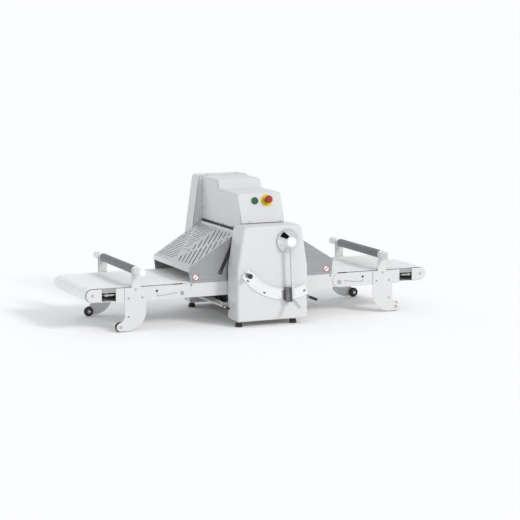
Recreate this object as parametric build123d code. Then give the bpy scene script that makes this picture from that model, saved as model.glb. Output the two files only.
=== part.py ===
from build123d import *
import math
import os

# Bench-top reversible dough sheeter with two folding conveyor tables, in millimetres.
# X runs along the belts, +Y goes to the rear casing, +Z is up and the bench is Z = 0.
# Pieces are drawn with Y = 0 on the belts' centre line; write_nodes() centres the whole
# machine over the origin.  Pieces that come in a left and a right version are drawn for
# the right-hand table (+X) and mirrored.

# ---- belts and tables -------------------------------------------------------------
BELT_HALF_W = 244.0
BELT_T = 2.0
ROLLER_LEVEL = 190.0
BELT_ROLLER_R = 34.0
BELT_ROLLER_CLEAR = 0.3
END_ROLLER_X = 908.0
DRIVE_ROLLER_GAP = 9.0          # between the belt and the lower sheeting roller
DRIVE_JOURNAL_R = 10.0
END_JOURNAL_R = 8.0
PIVOT_X = 436.0
PIVOT_Z = 175.0
PIVOT_PIN_R = 6.0
FOLD_HALF = 46.0                # the belt bends this far to each side of the pivot
BED_T = 3.0
BED_FLANGE_H = 21.0
RAIL_T = 3.0
RAIL_Z0 = 148.0
RAIL_Z1 = 220.0
RAIL_BELT_GAP = 2.5
RAIL_GAP = 0.5
RAIL_LOOP_BACK = 122.0          # the table rail stops this far short of the end roller
RAIL_HOLE_AT = (135.0, 195.0)   # latch hole: distance from the pivot, height
RAIL_HOLE_R = 4.0
FIXED_RAIL_SETBACK = 19.0
FIXED_RAIL_LAP = 30.0
BRACKET_BACK = 48.0
BRACKET_R = 32.0
TENSION_R = 5.0
TENSION_NUT_R = 9.0

# ---- side frames and casings ------------------------------------------------------
FRAME_CLEAR = 10.0              # belt edge to side plate
PLATE_T = 8.0
CASE_BOTTOM = 25.0
CASE_HALF_W = 192.0
CASE_WALL = 3.0
CASE_EDGE_R = 14.0
FRONT_CASE_DEPTH = 128.0
FRONT_KNEE_Z = 290.0
FRONT_TOP_HALF_W = 159.0
FRONT_TOP_Z = 506.0
REAR_CASE_DEPTH = 105.0
REAR_KNEE_Z = 330.0
REAR_TOP_HALF_W = 138.0
REAR_TOP_Z = 704.0
PLATE_INSET = 4.0
FLANGE_T = 6.0
FLANGE_Z = 31.0
TIE_BAR_R = 10.0
TIE_BARS = [(100.0, 60.0), (70.0, 440.0)]

# ---- hood over the rollers --------------------------------------------------------
HOOD_GAP = 0.3
HOOD_HALF_W = 122.0
HOOD_BOTTOM = 470.0
HOOD_LIP_Z = 509.0
HOOD_STEP_Y = 30.0
HOOD_STEP_Z = 655.0
HOOD_RISE_Y = 48.0
HOOD_TOP_Z = 702.0
HOOD_LEAN = 47.38
HOOD_WALL = 4.0
HOOD_EDGE_R = 13.0

# ---- sheeting rollers, carriage and drive -----------------------------------------
SHEET_R = 40.0
LOWER_Z = 187.0
NIP = 30.0
JOURNAL_R = 15.0
LOWER_BEARING_R = 26.0
DRIVE_BEARING_R = 20.0
BEARING_PROUD = 3.0
FIT = 0.05
NIP_CLOSE = 29.1
NIP_OPEN = 9.1
BLOCK_T = 28.0
BLOCK_HALF = 34.0
BLOCK_GAP = 0.5
GUIDE_W = 14.0
GUIDE_GAP = 0.3
YOKE_T = 6.5
YOKE_GAP = 1.5
MOTOR_UNDER_SCRAPER = 4.0
MOTOR_R = 50.0
MOTOR_LEN = 220.0
MOTOR_CAP_R = 40.0
MOTOR_CAP_LEN = 18.0
GEARBOX_T = 74.0
GEARBOX_HALF_W = 58.0
GEARBOX_Z0 = 30.0
GEARBOX_UNDER_SCRAPER = 1.0
GEAR_SHAFT_R = 11.5
PULLEY_SETBACK = 38.0
PULLEY_W = 24.0
ROLLER_PULLEY_R = 48.0
MOTOR_PULLEY_R = 30.0
DRIVE_BELT_T = 4.0
DRIVE_BELT_RUN = 0.3
SCRAPER_HALF_T = 6.0
SCRAPER_H = 7.5
SCRAPER_GAP = 0.5

# ---- thickness lever --------------------------------------------------------------
HUB_X = 76.5
HUB_Z = 429.0
HUB_R = 58.0
HUB_NOSE_R = 29.0
HUB_RIM = 9.0
HUB_DEPTH = 58.0
HUB_GAP = 1.0
HUB_BEARING_R = 14.0
HUB_BUSH_R = 16.0
LEVER_SHAFT_R = 10.0
LEVER_LEAN = 2.05
LEVER_LEN = 294.0
ARM_W = 13.0
ARM_D = 17.0
ARM_SETBACK = 19.0
ARM_PAST_GRIP = 8.0
GRIP_R = 8.5
GRIP_LEN = 94.0
GRIP_DROP = 21.0
CRANK_R = 37.0
CRANK_PHASE = 17.0
CRANK_PIN_R = 6.0
CRANK_T = 9.0
ARC_W = 50.0
ARC_PAST_GRIP = 6.0
ARC_LEFT = 57.6
ARC_RIGHT = 23.0
ARC_T = 5.0
ARC_RIM = 7.0
ARC_RIM_H = 13.0
STOP_R = 13.5
STOP_LEN = 62.0
STOP_IN = 23.0
SHOE_CLEAR = 1.5
SHOE_T = 5.0
SHOE_LEFT = 24.0
SHOE_RIGHT = 8.0

# ---- guards -----------------------------------------------------------------------
HINGE_X = 137.0
HINGE_Z = 462.0
HINGE_R = 5.0
GUARD_LIP_X = 400.0
GUARD_LIP_Z = 298.0
GUARD_SIDE_GAP = 4.6
GUARD_T = 1.6
GUARD_SIDE_Z = 222.0
GUARD_LIP_H = 24.0
GUARD_RETURN = 10.0
SLOT_W = 7.0
SLOT_PITCH = 31.0
SLOT_ANGLE = 45.0
SLOT_FIRST = 34.0
SLOT_BREAK = 184.0
SLOT_BREAK_W = 20.0
SLOT_TOP = 20.0
SLOT_FOOT = 24.0
SLOT_SIDE = 16.0
SLOT_MIDDLE = 20.0
STAY_EYE = (228.0, 267.0)
STAY_EYE_R = 11.0
STAY_HOLE_R = 4.5
STAY_GAP = 0.5

# ---- legs, wheels and rolling pins ------------------------------------------------
LEG_T = 4.0
LEG_W = 111.0
LEG_SETBACK = 167.0             # outer edge of the leg to the end roller
LEG_ARM_IN = 51.0
ARM_HALF_W = 24.0
PIN_Z = 304.0
WHEEL_PAST_LEG = 22.6
WHEEL_R = 25.0
WHEEL_W = 18.0
WHEEL_BORE_R = 5.0
WHEEL_GAP = 2.0
HOOK_R = 21.0
LEG_SWEEP_R = 97.0
HOOK_INNER_R = 40.0
TUBE_R = 21.0
TUBE_SHORT = 6.0               # belt edge to tube end
TUBE_GAP = 0.3
PIN_NECK_R = 12.0
PIN_NECK_PAST_LEG = 6.0
PIN_KNOB_R = 19.0
PIN_KNOB_LEN = 88.0
CROSS_R = 7.0
SCREW_R = 3.0
CROSS_BORE = 12.0
SCREW_HEAD_R = 5.0
LEG_SCREWS_AT = [(19.3, 167.9), (91.4, 167.9), (55.0, 210.7)]
LOW_BOSS_AT = (92.0, 75.5)
LOW_BOSS_LEN = 16.0

# ---- reversing bars, buttons, feet ------------------------------------------------
BAR_X = 225.0
BAR_LEFT_Z = 97.0
BAR_RIGHT_Z = 124.0
BAR_R = 6.0
BAR_REAR_SHORT = 104.0
BAR_LEFT_BACK = 68.0
BAR_RIGHT_BACK = 45.0
BAR_GRIP_WALL = 3.0
BAR_LEFT_GRIP = 28.0
BAR_RIGHT_GRIP = 78.0
ROCKER_R = 8.0
ROCKER_SETBACK = 22.0
BUTTON_Z = 616.0
BUTTON_BORE_R = 11.3
BUTTON_STEM_R = 11.0
START_X = -32.0
START_R = 18.0
ESTOP_X = 36.0
ESTOP_RING_R = 31.0
ESTOP_HEAD_R = 20.0
FOOT_X = (-170.0, 128.0)
FOOT_R = 18.0
FOOT_STUD_R = 5.0
FRONT_FOOT_IN = 42.0
REAR_FOOT_IN = 77.0
FOOT_H = 22.0

# ---- worked out from the sizes above ----------------------------------------------
BELT_R = BELT_ROLLER_R + BELT_T
BELT_TOP = ROLLER_LEVEL + BELT_R
BED_TOP = ROLLER_LEVEL + BELT_ROLLER_R
DRIVE_ROLLER_X = SHEET_R + DRIVE_ROLLER_GAP + BELT_R
PLATE_IN_Y = BELT_HALF_W + FRAME_CLEAR
PLATE_OUT_Y = PLATE_IN_Y + PLATE_T
FIXED_RAIL_Y = BELT_HALF_W + RAIL_BELT_GAP
TABLE_RAIL_Y = FIXED_RAIL_Y + RAIL_T + RAIL_GAP
RAIL_OUT_Y = TABLE_RAIL_Y + RAIL_T
LEG_OUT_Y = RAIL_OUT_Y + LEG_T
FIXED_RAIL_START = DRIVE_ROLLER_X + FIXED_RAIL_SETBACK
FIXED_RAIL_END = PIVOT_X + FIXED_RAIL_LAP
INNER_BED_END = PIVOT_X - PIVOT_PIN_R
TABLE_RAIL_END = END_ROLLER_X - RAIL_LOOP_BACK
BRACKET_START = END_ROLLER_X - BRACKET_BACK
UPPER_Z = LOWER_Z + 2 * SHEET_R + NIP
FRONT_FACE_Y = -(PLATE_OUT_Y + FRONT_CASE_DEPTH)
REAR_FACE_Y = PLATE_OUT_Y + REAR_CASE_DEPTH
BLOCK_Y = PLATE_OUT_Y + BLOCK_GAP
YOKE_Y0 = -(BLOCK_Y + BLOCK_T + YOKE_T)
CRANK_Y1 = YOKE_Y0 - YOKE_GAP
PULLEY_Y0 = PLATE_OUT_Y + PULLEY_SETBACK
PULLEY_Y1 = PULLEY_Y0 + PULLEY_W
GEARBOX_Y0 = PLATE_IN_Y - GEARBOX_T
SCRAPER_Z1 = LOWER_Z - SHEET_R - SCRAPER_GAP
SCRAPER_Z0 = SCRAPER_Z1 - SCRAPER_H
MOTOR_Z = SCRAPER_Z0 - MOTOR_UNDER_SCRAPER - MOTOR_R
HUB_Y1 = FRONT_FACE_Y - HUB_GAP
HUB_Y0 = HUB_Y1 - HUB_DEPTH
ARM_Y1 = HUB_Y0 + ARM_SETBACK
ARM_Y0 = ARM_Y1 - ARM_D
ARC_OUT_R = LEVER_LEN + ARC_PAST_GRIP
ARC_IN_R = ARC_OUT_R - ARC_W
GUARD_HALF_W = PLATE_IN_Y - GUARD_SIDE_GAP
LEG_OUT_X = END_ROLLER_X - LEG_SETBACK
LEG_IN_X = LEG_OUT_X - LEG_W
ARM_CENTRE_X = LEG_IN_X + LEG_ARM_IN
WHEEL_X = LEG_OUT_X + WHEEL_PAST_LEG
WHEEL_IN_Y = RAIL_OUT_Y - WHEEL_GAP - WHEEL_W
LEG_SCREWS = [(LEG_IN_X + x, z) for x, z in LEG_SCREWS_AT]
LOW_BOSS = (LEG_IN_X + LOW_BOSS_AT[0], LOW_BOSS_AT[1])
TUBE_HALF = BELT_HALF_W - TUBE_SHORT
PIN_KNOB_Y = LEG_OUT_Y + PIN_NECK_PAST_LEG
PIN_END_Y = PIN_KNOB_Y + PIN_KNOB_LEN
BAR_REAR_Y = PLATE_IN_Y - BAR_REAR_SHORT
BAR_LEFT_FRONT_Y = FRONT_FACE_Y + BAR_LEFT_BACK
BAR_RIGHT_FRONT_Y = FRONT_FACE_Y + BAR_RIGHT_BACK
ROCKER_Z = (BAR_LEFT_Z + BAR_RIGHT_Z) / 2
FRONT_FOOT_Y = FRONT_FACE_Y + FRONT_FOOT_IN
REAR_FOOT_Y = REAR_FACE_Y - REAR_FOOT_IN

nodes = {}


def box(x0, x1, y0, y1, z0, z1):
    return Pos((x0 + x1) / 2, (y0 + y1) / 2, (z0 + z1) / 2) * Box(x1 - x0, y1 - y0, z1 - z0)


def rod_y(x, z, r, y0, y1):
    return Pos(x, (y0 + y1) / 2, z) * Rot(90, 0, 0) * Cylinder(r, y1 - y0)


def rod_x(y, z, r, x0, x1):
    return Pos((x0 + x1) / 2, y, z) * Rot(0, 90, 0) * Cylinder(r, x1 - x0)


def rod_z(x, y, r, z0, z1):
    return Pos(x, y, (z0 + z1) / 2) * Cylinder(r, z1 - z0)


def ring_y(x, z, r_out, r_in, y0, y1):
    return rod_y(x, z, r_out, y0, y1) - rod_y(x, z, r_in, y0 - 1, y1 + 1)


def xz_plane(y):
    return Plane(origin=(0, y, 0), x_dir=(1, 0, 0), z_dir=(0, -1, 0))


def plate_xz(face, y0, y1):
    """A flat piece whose outline is drawn in X and Z, between two values of Y."""
    return extrude(xz_plane(y1) * face, y1 - y0)


def plate_yz(face, x0, x1):
    """A flat piece whose outline is drawn in Y and Z, between two values of X."""
    plane = Plane(origin=(x0, 0, 0), x_dir=(0, 1, 0), z_dir=(1, 0, 0))
    return extrude(plane * face, x1 - x0)


def outline(points, radii):
    return make_face(FilletPolyline(*points, radius=radii, close=True))


def link_face(ax, az, ar, bx, bz, br):
    """The outline of a strap round two bosses."""
    return make_hull((Pos(ax, az) * Circle(ar)).edges() + (Pos(bx, bz) * Circle(br)).edges())


def both_sides(piece):
    """The piece and its mirror image across the belts' centre line."""
    return [piece, mirror(piece, about=Plane.XZ)]


def to_left(pieces):
    return [mirror(p, about=Plane.YZ) for p in pieces]


def add(name, *pieces):
    solids = []
    for piece in pieces:
        solids += piece.solids()
    nodes[name] = solids


def add_pair(name, *pieces):
    """A right-hand node and its mirrored left-hand twin."""
    add("right_" + name, *pieces)
    add("left_" + name, *to_left(pieces))


def polar(r, degrees):
    """A point round the lever's hub; the angle is from straight down, positive to +X."""
    a = math.radians(degrees)
    return HUB_X + r * math.sin(a), HUB_Z - r * math.cos(a)


# ---- side plates and casings ------------------------------------------------------
def front_face(inset):
    w = CASE_HALF_W - inset
    t = FRONT_TOP_HALF_W - inset
    points = [(-w, CASE_BOTTOM + inset), (w, CASE_BOTTOM + inset), (w, FRONT_KNEE_Z),
              (t, FRONT_TOP_Z - inset), (-t, FRONT_TOP_Z - inset), (-w, FRONT_KNEE_Z)]
    return outline(points, [18, 18, 90, 26 - inset, 26 - inset, 90])


def rear_face(inset):
    w = CASE_HALF_W - inset
    t = REAR_TOP_HALF_W - inset
    points = [(-w, CASE_BOTTOM + inset), (w, CASE_BOTTOM + inset), (w, REAR_KNEE_Z),
              (t, REAR_TOP_Z - inset), (-t, REAR_TOP_Z - inset), (-w, REAR_KNEE_Z)]
    return outline(points, [18, 18, 120, 16 - inset, 16 - inset, 120])


def casing_shell(face, y_open, y_closed):
    """A pressed cover: closed at y_closed with rounded edges, open towards the side plate."""
    low = min(y_open, y_closed)
    outer = plate_xz(face(0), low, max(y_open, y_closed))
    rim = outer.edges().group_by(Axis.Y)[0 if y_closed < y_open else -1]
    outer = fillet(rim, CASE_EDGE_R)
    step = CASE_WALL if y_closed > y_open else -CASE_WALL
    inner_low, inner_high = sorted((y_open - 5 * step, y_closed - step))
    inner = plate_xz(face(CASE_WALL), inner_low, inner_high)
    inner_rim = inner.edges().group_by(Axis.Y)[0 if y_closed < y_open else -1]
    inner = fillet(inner_rim, CASE_EDGE_R - CASE_WALL)
    drop = box(-CASE_HALF_W + 12, CASE_HALF_W - 12, inner_low, inner_high,
               CASE_BOTTOM - 5, CASE_BOTTOM + 2 * CASE_WALL)
    return outer - inner - drop


def roller_holes(plate_y0, plate_y1):
    """Openings in a side plate: bearings of the lower and drive rollers, carriage slot."""
    cuts = [rod_y(0, LOWER_Z, LOWER_BEARING_R, plate_y0, plate_y1)]
    for x in (-DRIVE_ROLLER_X, DRIVE_ROLLER_X):
        cuts.append(rod_y(x, ROLLER_LEVEL, DRIVE_BEARING_R, plate_y0, plate_y1))
    slot = link_face(0, UPPER_Z - NIP_CLOSE, JOURNAL_R + 2, 0, UPPER_Z + NIP_OPEN, JOURNAL_R + 2)
    cuts.append(plate_xz(slot, plate_y0, plate_y1))
    return cuts


def frame_plates():
    front = plate_xz(front_face(PLATE_INSET), -PLATE_OUT_Y, -PLATE_IN_Y)
    flange_half = CASE_HALF_W - 12
    front += box(-flange_half, flange_half, FRONT_FACE_Y + 8, -PLATE_IN_Y,
                 FLANGE_Z, FLANGE_Z + FLANGE_T)
    rear = plate_xz(rear_face(PLATE_INSET), PLATE_IN_Y, PLATE_OUT_Y)
    rear += box(-flange_half + 2, flange_half - 2, PLATE_IN_Y, REAR_FACE_Y - 22,
                FLANGE_Z, FLANGE_Z + FLANGE_T)
    for cut in roller_holes(-PLATE_OUT_Y - 1, -PLATE_IN_Y + 1):
        front -= cut
    for cut in roller_holes(PLATE_IN_Y - 1, PLATE_OUT_Y + 1):
        rear -= cut
    front -= rod_y(HUB_X, HUB_Z, HUB_BEARING_R, -PLATE_OUT_Y - 1, -PLATE_IN_Y + 1)
    front -= rod_y(0, ROCKER_Z, ROCKER_R + FIT, -PLATE_OUT_Y - 1, -PLATE_IN_Y + 1)
    rear -= rod_y(0, MOTOR_Z, GEAR_SHAFT_R + 2.5, PLATE_IN_Y - 1, PLATE_OUT_Y + 1)
    for x in FOOT_X:
        front -= rod_z(x, FRONT_FOOT_Y, FOOT_STUD_R, FLANGE_Z - 6, FLANGE_Z + 14)
        rear -= rod_z(x, REAR_FOOT_Y, FOOT_STUD_R, FLANGE_Z - 6, FLANGE_Z + 14)
    return front, rear


front_plate, rear_plate = frame_plates()
add("front_frame_plate", front_plate)
add("rear_frame_plate", rear_plate)

front_casing = casing_shell(front_face, -PLATE_OUT_Y, FRONT_FACE_Y)
front_casing -= rod_y(HUB_X, HUB_Z, HUB_BUSH_R, FRONT_FACE_Y - 1, FRONT_FACE_Y + 10)
add("front_casing", front_casing)
add("rear_casing", casing_shell(rear_face, PLATE_OUT_Y, REAR_FACE_Y))


def tie_bars():
    """Round bars that hold the side plates apart; the outer top two carry the guards."""
    places = [(x, z, TIE_BAR_R) for x, z in TIE_BARS] + [(HINGE_X, HINGE_Z, HINGE_R)]
    bars = [rod_y(x, z, r, -PLATE_IN_Y, PLATE_IN_Y) for x, z, r in places]
    return bars + to_left(bars)


add("tie_bars", *tie_bars())


# ---- hood -------------------------------------------------------------------------
def hood_points(inset):
    front = -PLATE_OUT_Y
    lip = -PLATE_IN_Y + HOOD_GAP
    rear = PLATE_IN_Y - HOOD_GAP
    top = HOOD_STEP_Z - inset
    return [(lip + inset, HOOD_BOTTOM - 3 * inset), (lip + inset, HOOD_LIP_Z + inset),
            (front + inset, HOOD_LIP_Z + inset), (front + HOOD_LEAN + inset, top),
            (HOOD_STEP_Y + inset / 2, top), (HOOD_RISE_Y + inset / 2, HOOD_TOP_Z - inset),
            (rear - inset, HOOD_TOP_Z - inset), (rear - inset, HOOD_BOTTOM - 3 * inset)]


def hood_solid(inset, half_w):
    radii = [0, 0, 0, 24 - inset, 20 + inset, 26 - inset, 0, 0]
    return plate_yz(outline(hood_points(inset), radii), -half_w, half_w)


def hood_shell():
    outer = hood_solid(0, HOOD_HALF_W)
    sides = outer.edges().group_by(Axis.X)
    rims = [e for e in sides[0] + sides[-1] if e.center().Z > HOOD_LIP_Z + 5 and
            e.center().Y < PLATE_IN_Y - HOOD_GAP - 1]
    outer = fillet(rims, HOOD_EDGE_R)
    inner = hood_solid(HOOD_WALL, HOOD_HALF_W - HOOD_WALL)
    return outer - inner


HOOD_NORMAL = Vector(0, -(HOOD_STEP_Z - HOOD_LIP_Z), HOOD_LEAN).normalized()


def hood_front_y(z):
    return -PLATE_OUT_Y + HOOD_LEAN * (z - HOOD_LIP_Z) / (HOOD_STEP_Z - HOOD_LIP_Z)


def on_hood(x, out):
    """A frame on the hood's leaning front, raised by out, that looks out of the face."""
    at = Vector(x, hood_front_y(BUTTON_Z), BUTTON_Z) + HOOD_NORMAL * out
    return Plane(origin=at, x_dir=(1, 0, 0), z_dir=HOOD_NORMAL)


def stud(x, r, low, high):
    """A disc on the hood's front, between two heights above the face."""
    face = on_hood(x, low) * Circle(r)
    return extrude(face, high - low)


hood = hood_shell()
hood -= stud(START_X, BUTTON_BORE_R, -2 * HOOD_WALL, 2)
hood -= stud(ESTOP_X, BUTTON_BORE_R, -2 * HOOD_WALL, 2)
add("hood", hood)

start_collar_r = START_R + 2.5
estop_ring = stud(ESTOP_X, ESTOP_RING_R, 0, 3) - stud(ESTOP_X, BUTTON_BORE_R, -1, 4)
start_collar = stud(START_X, start_collar_r, 0, 4) - stud(START_X, START_R + 0.4, 1, 5)
start_collar -= stud(START_X, BUTTON_BORE_R, -1, 5)
add("button_collars", estop_ring, start_collar)
start_button = stud(START_X, START_R, 6, 12) + stud(START_X, BUTTON_STEM_R, -12, 6)
add("start_button", fillet(start_button.edges().sort_by(Axis.Y)[0:1], 2))
estop_head = stud(ESTOP_X, BUTTON_STEM_R, -12, 14) + stud(ESTOP_X, ESTOP_HEAD_R * 0.7, 14, 24)
estop_head += stud(ESTOP_X, ESTOP_HEAD_R, 24, 40)
add("estop_head", fillet(estop_head.edges().sort_by(Axis.Y)[0:1], 5))


# ---- sheeting rollers, carriage and drive -----------------------------------------
lower_roller = rod_y(0, LOWER_Z, SHEET_R, -BELT_HALF_W, BELT_HALF_W)
lower_roller += rod_y(0, LOWER_Z, JOURNAL_R, -PLATE_OUT_Y - 4, PULLEY_Y1)
add("lower_roller", lower_roller)
add("drive_pulley", ring_y(0, LOWER_Z, ROLLER_PULLEY_R, JOURNAL_R, PULLEY_Y0, PULLEY_Y1))
upper_roller = rod_y(0, UPPER_Z, SHEET_R, -BELT_HALF_W, BELT_HALF_W)
upper_roller += rod_y(0, UPPER_Z, JOURNAL_R, -BLOCK_Y - BLOCK_T, BLOCK_Y + BLOCK_T)
add("upper_roller", upper_roller)


def crank_pin():
    """Where the lever's crank pin stands at rest, in X and Z."""
    a = math.radians(CRANK_PHASE)
    return HUB_X + CRANK_R * math.cos(a), HUB_Z + CRANK_R * math.sin(a)


def carriage():
    """Two bearing blocks that carry the upper roller, and the yoke of the lever's crank."""
    block = box(-BLOCK_HALF, BLOCK_HALF, BLOCK_Y, BLOCK_Y + BLOCK_T,
                UPPER_Z - BLOCK_HALF, UPPER_Z + BLOCK_HALF)
    block -= rod_y(0, UPPER_Z, JOURNAL_R + FIT, BLOCK_Y - 1, BLOCK_Y + BLOCK_T + 1)
    front = mirror(block, about=Plane.XZ)
    pin_x, pin_z = crank_pin()
    y0 = YOKE_Y0
    y1 = YOKE_Y0 + YOKE_T
    foot_z = UPPER_Z - 25
    points = [(-20, foot_z), (pin_x + 20, foot_z), (pin_x + 20, pin_z + 20),
              (pin_x - 20, pin_z + 20), (pin_x - 20, foot_z + 50), (-20, foot_z + 50)]
    yoke = plate_xz(outline(points, [6, 12, 8, 8, 6, 6]), y0, y1)
    yoke -= rod_y(0, UPPER_Z, JOURNAL_R + 1, y0 - 1, y1 + 1)
    slot = link_face(pin_x - 2.5, pin_z, CRANK_PIN_R + 1.8, pin_x + 0.5, pin_z, CRANK_PIN_R + 1.8)
    yoke -= plate_xz(slot, y0 - 1, y1 + 1)
    return front + yoke, block


add("upper_carriage", *carriage())


def carriage_guides():
    """Upright bars on the side plates, either side of each bearing block."""
    x0 = BLOCK_HALF + GUIDE_GAP
    z0 = UPPER_Z - BLOCK_HALF - NIP_CLOSE - 4
    z1 = UPPER_Z + BLOCK_HALF + NIP_OPEN + 4
    bars = []
    for low in (x0, -x0 - GUIDE_W):
        bars += both_sides(box(low, low + GUIDE_W, PLATE_OUT_Y, BLOCK_Y + BLOCK_T - 5, z0, z1))
    return bars


add("carriage_guides", *carriage_guides())


def bearings():
    end = PLATE_OUT_Y + BEARING_PROUD
    rings = both_sides(ring_y(0, LOWER_Z, LOWER_BEARING_R, JOURNAL_R + FIT, PLATE_IN_Y, end))
    for x in (-DRIVE_ROLLER_X, DRIVE_ROLLER_X):
        rings += both_sides(ring_y(x, ROLLER_LEVEL, DRIVE_BEARING_R, DRIVE_JOURNAL_R + FIT,
                                   PLATE_IN_Y, end))
    bore = LEVER_SHAFT_R + FIT
    rings.append(ring_y(HUB_X, HUB_Z, HUB_BEARING_R, bore, -PLATE_OUT_Y - 4, -PLATE_IN_Y))
    rings.append(ring_y(HUB_X, HUB_Z, HUB_BUSH_R, bore, FRONT_FACE_Y, FRONT_FACE_Y + 14))
    return rings


add("bearings", *bearings())


def gear_motor():
    motor = rod_y(0, MOTOR_Z, MOTOR_R, GEARBOX_Y0 - MOTOR_LEN, GEARBOX_Y0)
    motor += rod_y(0, MOTOR_Z, MOTOR_CAP_R, GEARBOX_Y0 - MOTOR_LEN - MOTOR_CAP_LEN,
                   GEARBOX_Y0 - MOTOR_LEN)
    gearbox = box(-GEARBOX_HALF_W, GEARBOX_HALF_W, GEARBOX_Y0, PLATE_IN_Y,
                  GEARBOX_Z0, SCRAPER_Z0 - GEARBOX_UNDER_SCRAPER)
    gearbox -= rod_y(0, MOTOR_Z, GEAR_SHAFT_R + 0.5, GEARBOX_Y0 + 20, PLATE_IN_Y + 1)
    return motor, gearbox


add("gear_motor", *gear_motor())
motor_pulley = rod_y(0, MOTOR_Z, MOTOR_PULLEY_R, PULLEY_Y0, PULLEY_Y1)
motor_pulley += rod_y(0, MOTOR_Z, GEAR_SHAFT_R, GEARBOX_Y0 + 22, PULLEY_Y0)
add("motor_pulley", motor_pulley)


def drive_belt_face(out):
    """The loop round both pulleys, its line pushed out from them by out."""
    return link_face(0, LOWER_Z, ROLLER_PULLEY_R + out, 0, MOTOR_Z, MOTOR_PULLEY_R + out)


belt_band = drive_belt_face(DRIVE_BELT_RUN + DRIVE_BELT_T) - drive_belt_face(DRIVE_BELT_RUN)
add("transmission_belt", plate_xz(belt_band, PULLEY_Y0 + 1, PULLEY_Y1 - 1))

# The scraper keeps dough off the lower roller; it is held between the side plates.
add("lower_scraper", box(-SCRAPER_HALF_T, SCRAPER_HALF_T, -PLATE_IN_Y, PLATE_IN_Y,
                         SCRAPER_Z0, SCRAPER_Z1))


# ---- thickness lever --------------------------------------------------------------
ELBOW = polar(LEVER_LEN, LEVER_LEAN)


def lever_shaft():
    pin_x, pin_z = crank_pin()
    crank = plate_xz(link_face(HUB_X, HUB_Z, 17, pin_x, pin_z, 10), CRANK_Y1 - CRANK_T, CRANK_Y1)
    shaft = rod_y(HUB_X, HUB_Z, LEVER_SHAFT_R, FRONT_FACE_Y - 30, -PLATE_IN_Y - 1)
    pin = rod_y(pin_x, pin_z, CRANK_PIN_R, CRANK_Y1, CRANK_Y1 + YOKE_T + 1.2)
    return shaft + crank + pin


def lever_frame(y):
    """A frame at the hub whose first axis points down along the arm."""
    x, z = polar(1, LEVER_LEAN)
    return Plane(origin=(HUB_X, y, HUB_Z), x_dir=(x - HUB_X, 0, z - HUB_Z), z_dir=(0, -1, 0))


def lever_bar(r0, r1, w0, w1, y0, y1):
    """A bar along the arm, between two distances from the hub and across w0 to w1."""
    face = Pos((r0 + r1) / 2, (w0 + w1) / 2) * Rectangle(r1 - r0, w1 - w0)
    return extrude(lever_frame(y1) * face, y1 - y0)


def lever_hub():
    cone_len = HUB_DEPTH - HUB_RIM
    cone = Pos(HUB_X, HUB_Y1 - HUB_RIM - cone_len / 2, HUB_Z) * Rot(90, 0, 0) * \
        Cone(HUB_R - 3, HUB_NOSE_R, cone_len)
    return cone + rod_y(HUB_X, HUB_Z, HUB_R, HUB_Y1 - HUB_RIM, HUB_Y1)


def grip():
    mid_y = (ARM_Y0 + ARM_Y1) / 2
    a = math.radians(GRIP_DROP)
    along = Vector(0, -math.cos(a), -math.sin(a))
    start = Vector(ELBOW[0], mid_y, ELBOW[1])
    plane = Plane(origin=start, x_dir=(1, 0, 0), z_dir=along)
    body = extrude(plane * Circle(GRIP_R), GRIP_LEN)
    tip = body.faces().sort_by(Axis.Y)[0].edges()
    return fillet(tip, 5)


shaft = lever_shaft()
arm = lever_bar(0, LEVER_LEN + ARM_PAST_GRIP, -ARM_W / 2, ARM_W / 2, ARM_Y0, ARM_Y1)
hub = lever_hub() - arm - shaft
arm -= shaft
handle = grip() - arm
add("lever_shaft", shaft)
add("lever_hub", hub)
add("lever_arm", arm)
add("lever_handle", handle.solids().sort_by(SortBy.VOLUME)[-1])


def index_shoe():
    """The fork behind the arm that straddles the index plate."""
    y1 = FRONT_FACE_Y - ARC_RIM_H - SHOE_CLEAR
    rim_r = ARC_IN_R - ARC_RIM - SHOE_CLEAR
    top_r = math.sqrt(rim_r ** 2 - SHOE_LEFT ** 2)
    low_r = ARC_OUT_R + SHOE_CLEAR
    back = lever_bar(top_r - SHOE_T, low_r + SHOE_T, -SHOE_LEFT, SHOE_RIGHT, ARM_Y1, y1)
    top = lever_bar(top_r - SHOE_T, top_r, -SHOE_LEFT, SHOE_RIGHT, y1, FRONT_FACE_Y - 2)
    low = lever_bar(low_r, low_r + SHOE_T, -SHOE_LEFT, SHOE_RIGHT, y1, FRONT_FACE_Y - 2)
    return back + top + low


add("index_shoe", index_shoe())


def arc_band(r0, r1, left, right):
    """A band round the hub between two radii; its ends are at left and right of straight down."""
    def at(r, degrees):
        return polar(r, degrees)
    mid = (right - left) / 2
    edges = [ThreePointArc(at(r1, -left), at(r1, mid), at(r1, right)),
             Line(at(r1, right), at(r0, right)),
             ThreePointArc(at(r0, right), at(r0, mid), at(r0, -left)),
             Line(at(r0, -left), at(r1, -left))]
    return make_face(edges)


plate = plate_xz(arc_band(ARC_IN_R, ARC_OUT_R, ARC_LEFT, ARC_RIGHT),
                 FRONT_FACE_Y - ARC_T, FRONT_FACE_Y)
rim = plate_xz(arc_band(ARC_IN_R - ARC_RIM, ARC_IN_R, ARC_LEFT - 4, ARC_RIGHT),
               FRONT_FACE_Y - ARC_RIM_H, FRONT_FACE_Y)
add("index_plate", plate + rim)
stop_x, stop_z = polar(ARC_OUT_R - STOP_IN, -ARC_LEFT + 3)
stop = rod_y(stop_x, stop_z, STOP_R, FRONT_FACE_Y - ARC_T - STOP_LEN, FRONT_FACE_Y - ARC_T)
add("arc_end_stop", fillet(stop.edges().sort_by(Axis.Y)[0:1], 3))


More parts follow.
